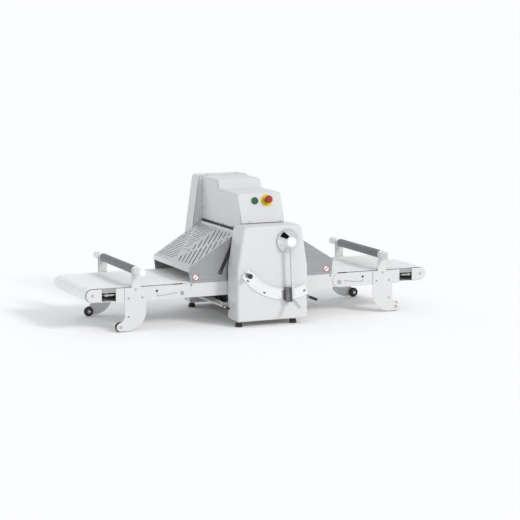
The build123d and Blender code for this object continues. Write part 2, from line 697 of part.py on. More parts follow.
# ---- conveyor tables --------------------------------------------------------------
def fixed_table():
    """Rails and slider bed of the part of a table that does not fold."""
    y0 = FIXED_RAIL_Y
    y1 = y0 + RAIL_T
    rail = box(FIXED_RAIL_START, FIXED_RAIL_END, y0, y1, RAIL_Z0 + 2, RAIL_Z1 - 1)
    rail += box(FIXED_RAIL_START + 8, CASE_HALF_W - 12, y1, PLATE_IN_Y, RAIL_Z0 + 10, RAIL_Z1 - 10)
    rail -= rod_y(PIVOT_X, PIVOT_Z, PIVOT_PIN_R + FIT, y0 - 1, y1 + 1)
    bed = bed_panel(DRIVE_ROLLER_X + BELT_R + 2, INNER_BED_END, y0)
    return both_sides(rail) + [bed]


def bed_panel(x0, x1, rail_y):
    """A sheet under the belt with a flange along each rail."""
    panel = box(x0, x1, -FIXED_RAIL_Y - 0.5, FIXED_RAIL_Y + 0.5, BED_TOP - BED_T, BED_TOP)
    low_z = BED_TOP - BED_T - BED_FLANGE_H
    for flange in both_sides(box(x0, x1, BELT_HALF_W - 1, rail_y, low_z, BED_TOP - BED_T)):
        panel += flange
    return panel


def belt_loop(x_roller, x_open, outward):
    """Half a belt: both runs from x_open to the roller at x_roller, and the wrap."""
    sign = 1 if outward else -1
    low, high = sorted((x_open, x_roller))
    outer = plate_xz(Pos((low + high) / 2, ROLLER_LEVEL) * Rectangle(high - low, 2 * BELT_R),
                     -BELT_HALF_W, BELT_HALF_W)
    inner = box(low - 5, high + 5, -BELT_HALF_W - 5, BELT_HALF_W + 5,
                ROLLER_LEVEL - BELT_ROLLER_R, ROLLER_LEVEL + BELT_ROLLER_R)
    wrap = ring_y(x_roller, ROLLER_LEVEL, BELT_R, BELT_ROLLER_R, -BELT_HALF_W, BELT_HALF_W)
    x0, x1 = sorted((x_roller, x_roller + sign * (BELT_R + 5)))
    side = box(x0, x1, -BELT_HALF_W - 5, BELT_HALF_W + 5,
               ROLLER_LEVEL - BELT_R - 5, ROLLER_LEVEL + BELT_R + 5)
    return (outer - inner) + (wrap & side)


fixed = fixed_table()
add("fixed_tables", *fixed, *to_left(fixed))
fold_x0 = PIVOT_X - FOLD_HALF
fold_x1 = PIVOT_X + FOLD_HALF
inner_belt = belt_loop(DRIVE_ROLLER_X, fold_x0, False)
add("inner_belts", inner_belt, *to_left([inner_belt]))
add_pair("belt_fold",
         box(fold_x0, fold_x1, -BELT_HALF_W, BELT_HALF_W, BELT_TOP - BELT_T, BELT_TOP),
         box(fold_x0, fold_x1, -BELT_HALF_W, BELT_HALF_W,
             ROLLER_LEVEL - BELT_R, ROLLER_LEVEL - BELT_ROLLER_R))
add_pair("outer_belt", belt_loop(END_ROLLER_X, fold_x1, True))


def table_bed():
    bed = bed_panel(fold_x1, END_ROLLER_X - BELT_R - 8, TABLE_RAIL_Y)
    for x, z in LEG_SCREWS:
        bed -= rod_y(x, z, CROSS_R + 0.3, -TABLE_RAIL_Y - 1, TABLE_RAIL_Y + 1)
    return bed


add_pair("table_bed", table_bed())


def table_rail():
    mid_z = (RAIL_Z0 + RAIL_Z1) / 2
    half = (RAIL_Z1 - RAIL_Z0) / 2
    rail = box(PIVOT_X, TABLE_RAIL_END, TABLE_RAIL_Y, RAIL_OUT_Y, RAIL_Z0, RAIL_Z1)
    rail += rod_y(PIVOT_X, mid_z, half, TABLE_RAIL_Y, RAIL_OUT_Y)
    hole_x, hole_z = PIVOT_X + RAIL_HOLE_AT[0], RAIL_HOLE_AT[1]
    holes = [(PIVOT_X, PIVOT_Z, PIVOT_PIN_R), (hole_x, hole_z, RAIL_HOLE_R)]
    holes += [(x, z, SCREW_R) for x, z in LEG_SCREWS]
    for x, z, r in holes:
        rail -= rod_y(x, z, r, TABLE_RAIL_Y - 1, RAIL_OUT_Y + 1)
    return rail


def end_bracket():
    """The slotted end plate that carries the end roller and slides along to tighten the belt."""
    plate = box(BRACKET_START, END_ROLLER_X, TABLE_RAIL_Y, RAIL_OUT_Y,
                ROLLER_LEVEL - BRACKET_R, ROLLER_LEVEL + BRACKET_R)
    plate += rod_y(END_ROLLER_X, ROLLER_LEVEL, BRACKET_R, TABLE_RAIL_Y, RAIL_OUT_Y)
    plate -= rod_y(END_ROLLER_X, ROLLER_LEVEL, END_JOURNAL_R + FIT, TABLE_RAIL_Y - 1, RAIL_OUT_Y + 1)
    return plate


add_pair("table_rails", *both_sides(table_rail()), *both_sides(end_bracket()))


def belt_roller(x, journal_r, journal_end):
    roller = rod_y(x, ROLLER_LEVEL, BELT_ROLLER_R - BELT_ROLLER_CLEAR, -BELT_HALF_W, BELT_HALF_W)
    return roller + rod_y(x, ROLLER_LEVEL, journal_r, -journal_end, journal_end)


add_pair("drive_roller", belt_roller(DRIVE_ROLLER_X, DRIVE_JOURNAL_R, PLATE_OUT_Y))
add_pair("end_roller", belt_roller(END_ROLLER_X, END_JOURNAL_R, RAIL_OUT_Y))


def leg_face():
    """Outline of a leg plate: hooked foot round the axle, upright arm with an open cradle."""
    foot = WHEEL_R - HOOK_R
    sweep_x = LEG_IN_X + LEG_SWEEP_R
    sweep_z = foot + LEG_SWEEP_R
    hook_x = LEG_OUT_X + HOOK_INNER_R
    reach = HOOK_R + HOOK_INNER_R
    hook_z = WHEEL_R + math.sqrt(reach ** 2 - (hook_x - WHEEL_X) ** 2)
    touch_x = WHEEL_X + (hook_x - WHEEL_X) * HOOK_R / reach
    touch_z = WHEEL_R + (hook_z - WHEEL_R) * HOOK_R / reach
    root = math.sqrt(0.5)
    turn = math.radians(215)
    edges = [
        Line((LEG_IN_X, RAIL_Z1), (LEG_IN_X, sweep_z)),
        ThreePointArc((LEG_IN_X, sweep_z), (sweep_x - root * LEG_SWEEP_R, sweep_z - root * LEG_SWEEP_R),
                      (sweep_x, foot)),
        Line((sweep_x, foot), (WHEEL_X, foot)),
        ThreePointArc((WHEEL_X, foot), (WHEEL_X + HOOK_R, WHEEL_R), (touch_x, touch_z)),
        ThreePointArc((touch_x, touch_z),
                      (hook_x + HOOK_INNER_R * math.cos(turn), hook_z + HOOK_INNER_R * math.sin(turn)),
                      (LEG_OUT_X, hook_z)),
        Line((LEG_OUT_X, hook_z), (LEG_OUT_X, RAIL_Z1)),
        Line((LEG_OUT_X, RAIL_Z1), (LEG_IN_X, RAIL_Z1)),
    ]
    arm_x0, arm_x1 = ARM_CENTRE_X - ARM_HALF_W, ARM_CENTRE_X + ARM_HALF_W
    arm = outline([(arm_x0, RAIL_Z1 - 10), (arm_x1, RAIL_Z1 - 10),
                   (arm_x1, PIN_Z + PIN_NECK_R), (arm_x0, PIN_Z + PIN_NECK_R)], [0, 0, 11, 11])
    seat_r = PIN_NECK_R + 0.3
    cradle = link_face(ARM_CENTRE_X, PIN_Z, seat_r, ARM_CENTRE_X, PIN_Z + 40, seat_r)
    return make_face(edges) + arm - cradle


def leg_set():
    leg = plate_xz(leg_face(), RAIL_OUT_Y, LEG_OUT_Y)
    leg -= rod_y(WHEEL_X, WHEEL_R, WHEEL_BORE_R - 1, RAIL_OUT_Y - 1, LEG_OUT_Y + 1)
    bars = []
    for x, z in LEG_SCREWS:
        leg -= rod_y(x, z, SCREW_R, RAIL_OUT_Y - 1, LEG_OUT_Y + 1)
        bar = rod_y(x, z, CROSS_R, -TABLE_RAIL_Y, TABLE_RAIL_Y)
        for tapped in both_sides(rod_y(x, z, SCREW_R, TABLE_RAIL_Y - CROSS_BORE, TABLE_RAIL_Y + 1)):
            bar -= tapped
        bars.append(bar)
    x, z = LOW_BOSS
    leg -= rod_y(x, z, SCREW_R, RAIL_OUT_Y - 1, LEG_OUT_Y + 1)
    boss = rod_y(x, z, CROSS_R, RAIL_OUT_Y - LOW_BOSS_LEN, RAIL_OUT_Y)
    boss -= rod_y(x, z, SCREW_R, RAIL_OUT_Y - CROSS_BORE, RAIL_OUT_Y + 1)
    return both_sides(leg) + bars + both_sides(boss)


def screw(x, z, seat_y, shank_y, head_r, shank_r, head_h):
    return rod_y(x, z, head_r, seat_y, seat_y + head_h) + rod_y(x, z, shank_r, shank_y, seat_y)


def leg_screw(x, z, bar_end_y):
    """A screw through the leg plate into the end of a cross bar, a millimetre off its bottom."""
    return screw(x, z, LEG_OUT_Y, bar_end_y - CROSS_BORE + 1, SCREW_HEAD_R, SCREW_R, 2.5)


def table_fasteners():
    """Pivot pins, axle bolts, leg screws and belt tension screws of one table."""
    pieces = []
    pivot = screw(PIVOT_X, PIVOT_Z, RAIL_OUT_Y, BELT_HALF_W + 1, 10, PIVOT_PIN_R, 3)
    pieces += both_sides(pivot)
    axle = screw(WHEEL_X, WHEEL_R, LEG_OUT_Y, RAIL_OUT_Y, 7, WHEEL_BORE_R - 1, 3)
    axle += rod_y(WHEEL_X, WHEEL_R, WHEEL_BORE_R, WHEEL_IN_Y - 4, RAIL_OUT_Y)
    axle += rod_y(WHEEL_X, WHEEL_R, 8, WHEEL_IN_Y - 4, WHEEL_IN_Y - 0.5)
    pieces += both_sides(axle)
    for x, z in LEG_SCREWS:
        pieces += both_sides(leg_screw(x, z, TABLE_RAIL_Y))
    pieces += both_sides(leg_screw(*LOW_BOSS, RAIL_OUT_Y))
    mid = (TABLE_RAIL_Y + RAIL_OUT_Y) / 2
    bolt = rod_x(mid, ROLLER_LEVEL, 1.4, TABLE_RAIL_END, BRACKET_START)
    bolt += rod_x(mid, ROLLER_LEVEL, TENSION_R, TABLE_RAIL_END + 12, BRACKET_START - 12)
    bolt += rod_x(mid, ROLLER_LEVEL, TENSION_NUT_R, BRACKET_START - 30, BRACKET_START - 18)
    pieces += both_sides(bolt)
    return pieces


add_pair("leg_set", *leg_set())
add_pair("table_fasteners", *table_fasteners())


def wheel():
    body = rod_y(WHEEL_X, WHEEL_R, WHEEL_R, WHEEL_IN_Y, WHEEL_IN_Y + WHEEL_W)
    rims = body.edges().filter_by(GeomType.CIRCLE)
    body = fillet(rims, 3)
    return body - rod_y(WHEEL_X, WHEEL_R, WHEEL_BORE_R + FIT, WHEEL_IN_Y - 1, WHEEL_IN_Y + WHEEL_W + 1)


add_pair("rear_wheel", wheel())
add_pair("front_wheel", mirror(wheel(), about=Plane.XZ))


# ---- rolling pins on the tables ---------------------------------------------------
def pin_core():
    """A plain rod with cone collars beside the tube, necks in the cradles and turned ends."""
    core = rod_y(ARM_CENTRE_X, PIN_Z, PIN_NECK_R, -PIN_KNOB_Y, PIN_KNOB_Y)
    cone_y0 = TUBE_HALF + TUBE_GAP
    cone_len = RAIL_OUT_Y - 4 - cone_y0
    cone = Pos(ARM_CENTRE_X, cone_y0 + cone_len / 2, PIN_Z) * Rot(-90, 0, 0) * \
        Cone(TUBE_R, PIN_NECK_R + 2, cone_len)
    knob = rod_y(ARM_CENTRE_X, PIN_Z, PIN_KNOB_R, PIN_KNOB_Y, PIN_END_Y)
    knob = fillet(knob.edges().sort_by(Axis.Y)[-1:], 8)
    knob = fillet(knob.edges().sort_by(Axis.Y)[0:1], 5)
    for piece in both_sides(cone) + both_sides(knob):
        core += piece
    return core


add_pair("pin_core", pin_core())
add_pair("pin_tube",
         ring_y(ARM_CENTRE_X, PIN_Z, TUBE_R, PIN_NECK_R + FIT, -TUBE_HALF, TUBE_HALF))


# ---- guards -----------------------------------------------------------------------
def slot_faces(length):
    """Slanting slots of the sloping sheet, mirrored about its middle and cut off at the
    margins; first axis down the slope, second across."""
    faces = []
    deep = length - SLOT_TOP - SLOT_FOOT
    wide = GUARD_HALF_W - SLOT_SIDE - SLOT_MIDDLE
    long = length + GUARD_HALF_W
    for side in (-1, 1):
        window = (Pos(SLOT_TOP + deep / 2, side * (SLOT_MIDDLE + wide / 2)) *
                  Rectangle(deep, wide))
        for row in range(-6, 8):
            off = side * -(SLOT_FIRST + row * SLOT_PITCH)
            for near, far in ((-long, SLOT_BREAK - SLOT_BREAK_W / 2),
                              (SLOT_BREAK + SLOT_BREAK_W / 2, long)):
                bar = Pos((near + far) / 2, off) * Rectangle(far - near, SLOT_W)
                for face in (window & Rot(0, 0, side * SLOT_ANGLE) * bar).faces():
                    if face.area > 5 * SLOT_W:
                        faces.append(face)
    return faces


def guard():
    """A folded sheet: hinge roll, slotted slope, lip with a return and two side cheeks."""
    length = math.hypot(GUARD_LIP_X - HINGE_X, HINGE_Z - GUARD_LIP_Z)
    slope = Plane(origin=(HINGE_X, 0, HINGE_Z),
                  x_dir=(GUARD_LIP_X - HINGE_X, 0, GUARD_LIP_Z - HINGE_Z),
                  z_dir=(GUARD_LIP_Z - HINGE_Z, 0, HINGE_X - GUARD_LIP_X))
    roll_r = HINGE_R + FIT + 3
    sheet = Pos((length + 6) / 2, 0) * Rectangle(length - 6, 2 * GUARD_HALF_W)
    for face in slot_faces(length):
        sheet -= face
    body = extrude(slope * sheet, GUARD_T)
    body += rod_y(HINGE_X, HINGE_Z, roll_r, -GUARD_HALF_W, GUARD_HALF_W)
    corner = (GUARD_LIP_X, GUARD_LIP_Z)
    cheek = make_face(Polyline((HINGE_X + 2, HINGE_Z), corner, (GUARD_LIP_X - 8, GUARD_SIDE_Z),
                               (HINGE_X + 13, GUARD_SIDE_Z), close=True))
    for side in both_sides(plate_xz(cheek, GUARD_HALF_W - GUARD_T, GUARD_HALF_W)):
        body += side
    low_x, low_z = GUARD_LIP_X - 2.6, GUARD_LIP_Z - GUARD_LIP_H
    lip = make_face(Polyline(corner, (low_x, low_z), (low_x - GUARD_RETURN, low_z),
                             (low_x - GUARD_RETURN, low_z + GUARD_T),
                             (low_x - GUARD_T, low_z + GUARD_T),
                             (GUARD_LIP_X - GUARD_T, GUARD_LIP_Z - 1), close=True))
    body += plate_xz(lip, -GUARD_HALF_W, GUARD_HALF_W)
    return body - rod_y(HINGE_X, HINGE_Z, HINGE_R + FIT, -GUARD_HALF_W - 1, GUARD_HALF_W + 1)


def guard_arm():
    """A flat stay outside the front cheek, from the hinge rod down to an eye."""
    y0 = -PLATE_IN_Y + STAY_GAP
    face = link_face(HINGE_X, HINGE_Z, 10, *STAY_EYE, 8) + Pos(*STAY_EYE) * Circle(STAY_EYE_R)
    face -= Pos(*STAY_EYE) * Circle(STAY_HOLE_R)
    arm = plate_xz(face, y0, -GUARD_HALF_W)
    return arm - rod_y(HINGE_X, HINGE_Z, HINGE_R + FIT, y0 - 1, -GUARD_HALF_W + 1)


add_pair("guard", guard())
add_pair("guard_arm", guard_arm())


# ---- reversing bars ---------------------------------------------------------------
def reverse_bars():
    """Two long bars either side, joined by a rocker whose shaft turns in the front plate."""
    arm_y = -PLATE_IN_Y + ROCKER_SETBACK
    rocker = outline([(-BAR_X, BAR_LEFT_Z - 9), (BAR_X, BAR_RIGHT_Z - 9),
                      (BAR_X, BAR_RIGHT_Z + 9), (-BAR_X, BAR_LEFT_Z + 9)], 8.5)
    body = plate_xz(rocker, arm_y - 6, arm_y + 6)
    body += rod_y(0, ROCKER_Z, ROCKER_R, -PLATE_OUT_Y - 3, arm_y)
    body += rod_y(-BAR_X, BAR_LEFT_Z, BAR_R, BAR_LEFT_FRONT_Y, BAR_REAR_Y)
    body += rod_y(BAR_X, BAR_RIGHT_Z, BAR_R, BAR_RIGHT_FRONT_Y, BAR_REAR_Y)
    return body


def bar_grip(x, z, y0, y1):
    sleeve = rod_y(x, z, BAR_R + BAR_GRIP_WALL, y0, y1)
    return fillet(sleeve.edges().sort_by(Axis.Y)[0:1], 3)


add("reverse_bars", reverse_bars())
add("reverse_grips",
    bar_grip(-BAR_X, BAR_LEFT_Z, BAR_LEFT_FRONT_Y - BAR_LEFT_GRIP, BAR_LEFT_FRONT_Y),
    bar_grip(BAR_X, BAR_RIGHT_Z, BAR_RIGHT_FRONT_Y - BAR_RIGHT_GRIP, BAR_RIGHT_FRONT_Y))


# ---- feet and casing screws -------------------------------------------------------
def foot(x, y):
    pad = rod_z(x, y, FOOT_R, 0, FOOT_H)
    pad = fillet(pad.edges().sort_by(Axis.Z)[-1:], 3)
    return (pad + rod_z(x, y, FOOT_STUD_R, FOOT_H - 1, FLANGE_Z + 13) +
            rod_z(x, y, 9, FOOT_H, FLANGE_Z - 2))


add("feet", *[foot(x, y) for y in (FRONT_FOOT_Y, REAR_FOOT_Y) for x in FOOT_X])


def side_screw(x, y, z):
    """A round head on a vertical side face at +X, for a cover's edge."""
    return rod_x(y, z, 4, x, x + 2.5)


def casing_screws():
    heads = []
    for z in (130, 250):
        heads.append(side_screw(CASE_HALF_W, -PLATE_OUT_Y - 9, z))
        heads.append(side_screw(CASE_HALF_W, PLATE_OUT_Y + 16, z))
    for y, z in ((-40, 12), (106, 12), (PLATE_IN_Y - 14, 65), (PLATE_IN_Y - 14, 158)):
        heads.append(side_screw(HOOD_HALF_W, y, HOOD_BOTTOM + z))
    heads += to_left(heads)
    for x in (-76, 90):
        heads.append(rod_z(x, PLATE_OUT_Y + 38, 5, REAR_TOP_Z, REAR_TOP_Z + 2.5))
    return heads


add("casing_screws", *casing_screws())


# ---- writing the nodes ------------------------------------------------------------
def write_nodes():
    """Centre the machine over the origin along Y and write one STEP file for each node."""
    boxes = [s.bounding_box() for solids in nodes.values() for s in solids]
    shift = -(min(b.min.Y for b in boxes) + max(b.max.Y for b in boxes)) / 2
    os.makedirs("parts", exist_ok=True)
    for name, solids in nodes.items():
        placed = [Pos(0, shift, 0) * s for s in solids]
        shape = placed[0] if len(placed) == 1 else Compound(placed)
        export_step(shape, os.path.join("parts", name + ".step"))
    print(f"{len(nodes)} nodes, moved {shift:.4f} mm along Y")


write_nodes()
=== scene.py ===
import math

import bpy
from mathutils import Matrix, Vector


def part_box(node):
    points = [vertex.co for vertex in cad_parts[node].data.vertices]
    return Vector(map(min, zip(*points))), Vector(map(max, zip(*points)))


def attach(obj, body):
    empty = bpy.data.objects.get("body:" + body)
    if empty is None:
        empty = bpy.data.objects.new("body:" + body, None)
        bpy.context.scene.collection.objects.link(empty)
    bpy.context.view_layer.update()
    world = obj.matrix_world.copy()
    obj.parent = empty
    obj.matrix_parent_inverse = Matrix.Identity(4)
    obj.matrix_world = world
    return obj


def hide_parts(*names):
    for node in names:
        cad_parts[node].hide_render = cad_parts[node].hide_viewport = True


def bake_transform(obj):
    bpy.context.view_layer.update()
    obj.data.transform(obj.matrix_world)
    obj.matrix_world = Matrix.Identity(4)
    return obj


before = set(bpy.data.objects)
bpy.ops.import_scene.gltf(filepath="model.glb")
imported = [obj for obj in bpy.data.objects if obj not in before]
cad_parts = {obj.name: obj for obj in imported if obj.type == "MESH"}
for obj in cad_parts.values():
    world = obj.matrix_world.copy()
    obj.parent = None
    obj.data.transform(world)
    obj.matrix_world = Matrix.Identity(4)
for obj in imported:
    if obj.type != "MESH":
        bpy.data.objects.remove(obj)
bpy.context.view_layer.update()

# The camera stands in front of the machine, well to its left and a little above the belts, and
# looks through a long lens at the middle of the belts.
roller_low, roller_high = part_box("upper_roller")
BELT_Y = (roller_low.y + roller_high.y) / 2
LENS, SENSOR, FAR_SIGHT = 132.416, 36.0, 2000.0
looked_at = Vector((0.0985, BELT_Y, 0.2755))
turn, rise, away = math.radians(-23.6437), math.radians(8.4676), 9.9794
back = Vector((math.sin(turn) * math.cos(rise), -math.cos(turn) * math.cos(rise), math.sin(rise)))
eye = bpy.data.objects.new("studio_camera", bpy.data.cameras.new("studio_camera"))
eye.data.lens = LENS
eye.data.sensor_width = SENSOR
eye.data.clip_end = FAR_SIGHT
eye.location = looked_at + back * away
eye.rotation_euler = back.to_track_quat("Z", "Y").to_euler()
bpy.context.scene.collection.objects.link(eye)
bpy.context.scene.camera = eye
bpy.context.scene.view_settings.view_transform = "Standard"

# The studio: a pale floor that runs out of sight, a pale sky and a wide soft sun high on the
# right in front.
SKY_TINT, SKY_POWER = (0.96, 0.975, 1.0, 1.0), 0.82
SUN_TINT, SUN_POWER, SUN_WIDTH = (1.0, 0.99, 0.975), 1.4, math.radians(13)
SUN_FROM = Vector((0.38, -0.78, 0.50))
FLOOR_SIZE = 900.0
sky = bpy.data.worlds.new("studio_sky")
sky.use_nodes = True
air = sky.node_tree.nodes["Background"]
air.inputs["Color"].default_value = SKY_TINT
air.inputs["Strength"].default_value = SKY_POWER
bpy.context.scene.world = sky
sun = bpy.data.objects.new("soft_sun", bpy.data.lights.new("soft_sun", "SUN"))
sun.data.energy = SUN_POWER
sun.data.angle = SUN_WIDTH
sun.data.color = SUN_TINT
sun.rotation_euler = SUN_FROM.to_track_quat("Z", "Y").to_euler()
sun.visible_glossy = False
bpy.context.scene.collection.objects.link(sun)


def let_go():
    """Nothing stays selected, so that the next operator works on the next piece alone."""
    if bpy.context.object and bpy.context.object.mode != "OBJECT":
        bpy.ops.object.mode_set(mode="OBJECT")
    bpy.ops.object.select_all(action="DESELECT")


let_go()
bpy.ops.mesh.primitive_plane_add(size=FLOOR_SIZE, location=(0, 0, 0))
floor = bpy.context.object
floor.name = "studio_floor"
bpy.ops.object.mode_set(mode="EDIT")
bpy.ops.mesh.subdivide(number_cuts=2)
bpy.ops.object.mode_set(mode="OBJECT")
floor_paint = bpy.data.materials.new("floor_paint")
floor_paint.use_nodes = True
paint = floor_paint.node_tree.nodes["Principled BSDF"]
paint.inputs["Base Color"].default_value = (0.965, 0.965, 0.965, 1.0)
paint.inputs["Specular IOR Level"].default_value = 0.0
floor.data.materials.append(floor_paint)

# Two matt dark cards stand out of view, behind the machine on the right and over it on the
# left. They throw no shadow, and only polished metal sees them.
CARDS_FACE = Vector((0, 0, 0.4))
card_paint = bpy.data.materials.new("card_paint")
card_paint.use_nodes = True
paint = card_paint.node_tree.nodes["Principled BSDF"]
paint.inputs["Base Color"].default_value = (0.01, 0.01, 0.01, 1.0)
paint.inputs["Specular IOR Level"].default_value = 0.0
for name, place, size in (("dark_card_right", (2.7, 2.9, 1.05), 1.7),
                          ("dark_card_left", (-1.6, 0.6, 3.2), 3.0)):
    let_go()
    bpy.ops.mesh.primitive_plane_add(size=size, location=place)
    card = bpy.context.object
    card.name = name
    card.rotation_euler = (Vector(place) - CARDS_FACE).to_track_quat("Z", "Y").to_euler()
    card.data.materials.append(card_paint)
    card.visible_camera = False
    card.visible_diffuse = False
    card.visible_shadow = False
    card.visible_transmission = False

# Side plates, casings, hood, rails and legs: sheet steel, bent, welded and powder coated in a
# glossy white. The coat has a faint orange peel and is eased over the edges.


def finish(name, deep, pale, rough, metal=0.0, clouds=5.0, stretch=(1, 1, 1), grain=900.0,
           bump=0.05, relief=0.0004, edge=0.0012, coat=0.0, edge_tone=None, edge_share=0.5):
    """A finish in nodes: clouds of two tones, polish that varies, a fine grain and eased edges,
    with painted light on the edges when edge_tone is given.
    """
    made = bpy.data.materials.new(name)
    made.use_nodes = True
    tree = made.node_tree
    tree.nodes.clear()

    def node(kind, **settings):
        new = tree.nodes.new("ShaderNode" + kind)
        for key, value in settings.items():
            if hasattr(new, key):
                setattr(new, key, value)
            else:
                new.inputs[key.replace("_", " ")].default_value = value
        return new

    def join(a, out, b, into):
        tree.links.new(a.outputs[out], b.inputs[into])

    where = node("TexCoord")
    run = node("Mapping", Scale=stretch)
    join(where, "Object", run, "Vector")
    cloud = node("TexNoise", Scale=clouds, Detail=5.0, Roughness=0.62)
    join(run, "Vector", cloud, "Vector")
    tone = node("ValToRGB")
    tone.color_ramp.elements[0].position = 0.32
    tone.color_ramp.elements[0].color = (*deep, 1.0)
    tone.color_ramp.elements[1].position = 0.68
    tone.color_ramp.elements[1].color = (*pale, 1.0)
    join(cloud, "Fac", tone, "Fac")
    fine = node("TexNoise", Scale=grain, Detail=3.0, Roughness=0.6)
    join(run, "Vector", fine, "Vector")
    polish = node("MapRange", From_Min=0.3, From_Max=0.7, To_Min=rough[0], To_Max=rough[1])
    smear = node("TexNoise", Scale=clouds * 4.3, Detail=6.0, Roughness=0.7)
    join(run, "Vector", smear, "Vector")
    join(smear, "Fac", polish, "Value")
    eased = node("Bevel", samples=4, Radius=edge)
    relief_node = node("Bump", Strength=bump, Distance=relief)
    join(fine, "Fac", relief_node, "Height")
    join(eased, "Normal", relief_node, "Normal")
    skin = node("BsdfPrincipled", Metallic=metal, Coat_Weight=coat, Coat_Roughness=0.12)
    if edge_tone is None:
        join(tone, "Color", skin, "Base Color")
    else:
        # Painted light on the edges: where the Bevel normal turns away from the face, edge_tone is
        # mixed in, a lighter tone as a painted highlight and a darker one as painted shade.
        flat = node("NewGeometry")
        meet = node("VectorMath", operation="DOT_PRODUCT")
        join(eased, "Normal", meet, 0)
        join(flat, "Normal", meet, 1)
        painted_edge_light_mask = node("MapRange", From_Min=0.995, From_Max=0.86, To_Min=0.0, To_Max=edge_share)
        join(meet, "Value", painted_edge_light_mask, "Value")
        painted_edge_light = node("Mix", data_type="RGBA")
        for socket in painted_edge_light.inputs:
            if socket.type == "RGBA" and socket.identifier.startswith("B"):
                socket.default_value = (*edge_tone, 1.0)
            if socket.type == "RGBA" and socket.identifier.startswith("A"):
                tree.links.new(tone.outputs["Color"], socket)
        join(painted_edge_light_mask, "Result", painted_edge_light, "Factor")
        mixed = [s for s in painted_edge_light.outputs if s.type == "RGBA"][0]
        tree.links.new(mixed, skin.inputs["Base Color"])
    join(polish, "Result", skin, "Roughness")
    join(relief_node, "Normal", skin, "Normal")
    out = node("OutputMaterial")
    join(skin, "BSDF", out, "Surface")
    return made


def coat_with(made, *names):
    """Gives CAD nodes this finish."""
    for name in names:
        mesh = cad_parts[name].data
        mesh.materials.clear()
        mesh.materials.append(made)


white_coat = finish("white_coat", (0.642, 0.645, 0.647), (0.664, 0.666, 0.666), (0.27, 0.30),
                    clouds=2.2, grain=420.0, bump=0.035, relief=0.0003, edge=0.0016, coat=0.3)
coat_with(white_coat, "front_frame_plate", "rear_frame_plate", "front_casing", "rear_casing",
          "hood", "fixed_tables", "left_table_rails", "right_table_rails", "left_leg_set",
          "right_leg_set", "reverse_bars")

# Rollers and drive between the side plates: ground steel rollers, turned and hard chromed,
# bronze bushes, a zinc plated carriage, guides and scraper, and a ribbed black drive belt.
ground_steel = finish("ground_steel", (0.50, 0.505, 0.51), (0.62, 0.625, 0.63), (0.14, 0.27),
                      metal=1.0, clouds=7.0, stretch=(1, 0.15, 1), grain=800.0, bump=0.03,
                      edge=0.0008)
# Its edges are painted lighter: a painted highlight.
zinc_plate = finish("zinc_plate", (0.42, 0.425, 0.43), (0.55, 0.555, 0.55), (0.30, 0.48),
                    metal=1.0, clouds=16.0, grain=700.0, bump=0.06, edge=0.0008,
                    edge_tone=(0.70, 0.70, 0.70))
bush_bronze = finish("bush_bronze", (0.36, 0.25, 0.13), (0.47, 0.33, 0.18), (0.30, 0.45),
                     metal=1.0, clouds=30.0, grain=900.0, edge=0.0004)
belt_rubber = finish("belt_rubber", (0.016, 0.016, 0.017), (0.030, 0.030, 0.031), (0.55, 0.75),
                     clouds=25.0, grain=1200.0, bump=0.25, edge=0.0006)
lagging = finish("roller_lagging", (0.10, 0.10, 0.102), (0.15, 0.15, 0.152), (0.55, 0.72),
                 clouds=12.0, stretch=(1, 0.4, 1), grain=900.0, bump=0.2, edge=0.0008)
coat_with(ground_steel, "upper_roller", "lower_roller", "tie_bars", "lever_shaft",
          "left_end_roller", "right_end_roller")
coat_with(zinc_plate, "upper_carriage", "carriage_guides", "lower_scraper", "drive_pulley",
          "motor_pulley", "left_table_bed", "right_table_bed")
coat_with(bush_bronze, "bearings")
coat_with(belt_rubber, "transmission_belt")
coat_with(lagging, "left_drive_roller", "right_drive_roller")

# Guards: sheet stainless steel, slotted in a herringbone, bent over at the lip and welded at the
# cheeks, brushed along its width. The black stay outside each front cheek is painted flat bar.
brushed_sheet = finish("brushed_sheet", (0.68, 0.685, 0.69), (0.76, 0.765, 0.77), (0.34, 0.46),
                       metal=1.0, clouds=9.0, stretch=(14, 0.6, 14), grain=140.0, bump=0.10,
                       relief=0.0002, edge=0.0007)
# Its edges are painted lighter: a painted highlight.
black_bar = finish("black_bar", (0.018, 0.018, 0.019), (0.034, 0.034, 0.035), (0.32, 0.5),
                   clouds=14.0, grain=800.0, bump=0.08, edge=0.0008,
                   edge_tone=(0.09, 0.09, 0.09))
# The upright cheeks are the same stainless sheet in a darker copy of its finish: painted shade, as
# they take less light than the sloping top.
shaded_cheek_sheet = finish("shaded_cheek_sheet", (0.40, 0.405, 0.41), (0.47, 0.475, 0.48), (0.36, 0.48),
                       metal=1.0, clouds=6.0, stretch=(0.6, 14, 14), grain=140.0, bump=0.10,
                       relief=0.0002, edge=0.0007)
coat_with(brushed_sheet, "left_guard", "right_guard")
# Faces square to Y, the cheeks, take the darker painted-shade copy.
for name in ("left_guard", "right_guard"):
    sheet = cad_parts[name].data
    sheet.materials.append(shaded_cheek_sheet)
    for face in sheet.polygons:
        face.material_index = 1 if abs(face.normal.y) > 0.9 else 0
coat_with(black_bar, "left_guard_arm", "right_guard_arm")

# Index plate of the thickness lever: a curved stainless strip with a raised inner rim, polished,
# and the dark zinc fork behind the arm that slides along it.
# Its edges are painted near black: painted shade for the shadowed gap round the plate.
polished_strip = finish("polished_strip", (0.90, 0.905, 0.91), (0.95, 0.955, 0.96), (0.14, 0.22),
                        metal=1.0, clouds=11.0, grain=500.0, bump=0.04, edge=0.0008,
                        edge_tone=(0.10, 0.10, 0.10), edge_share=0.9)
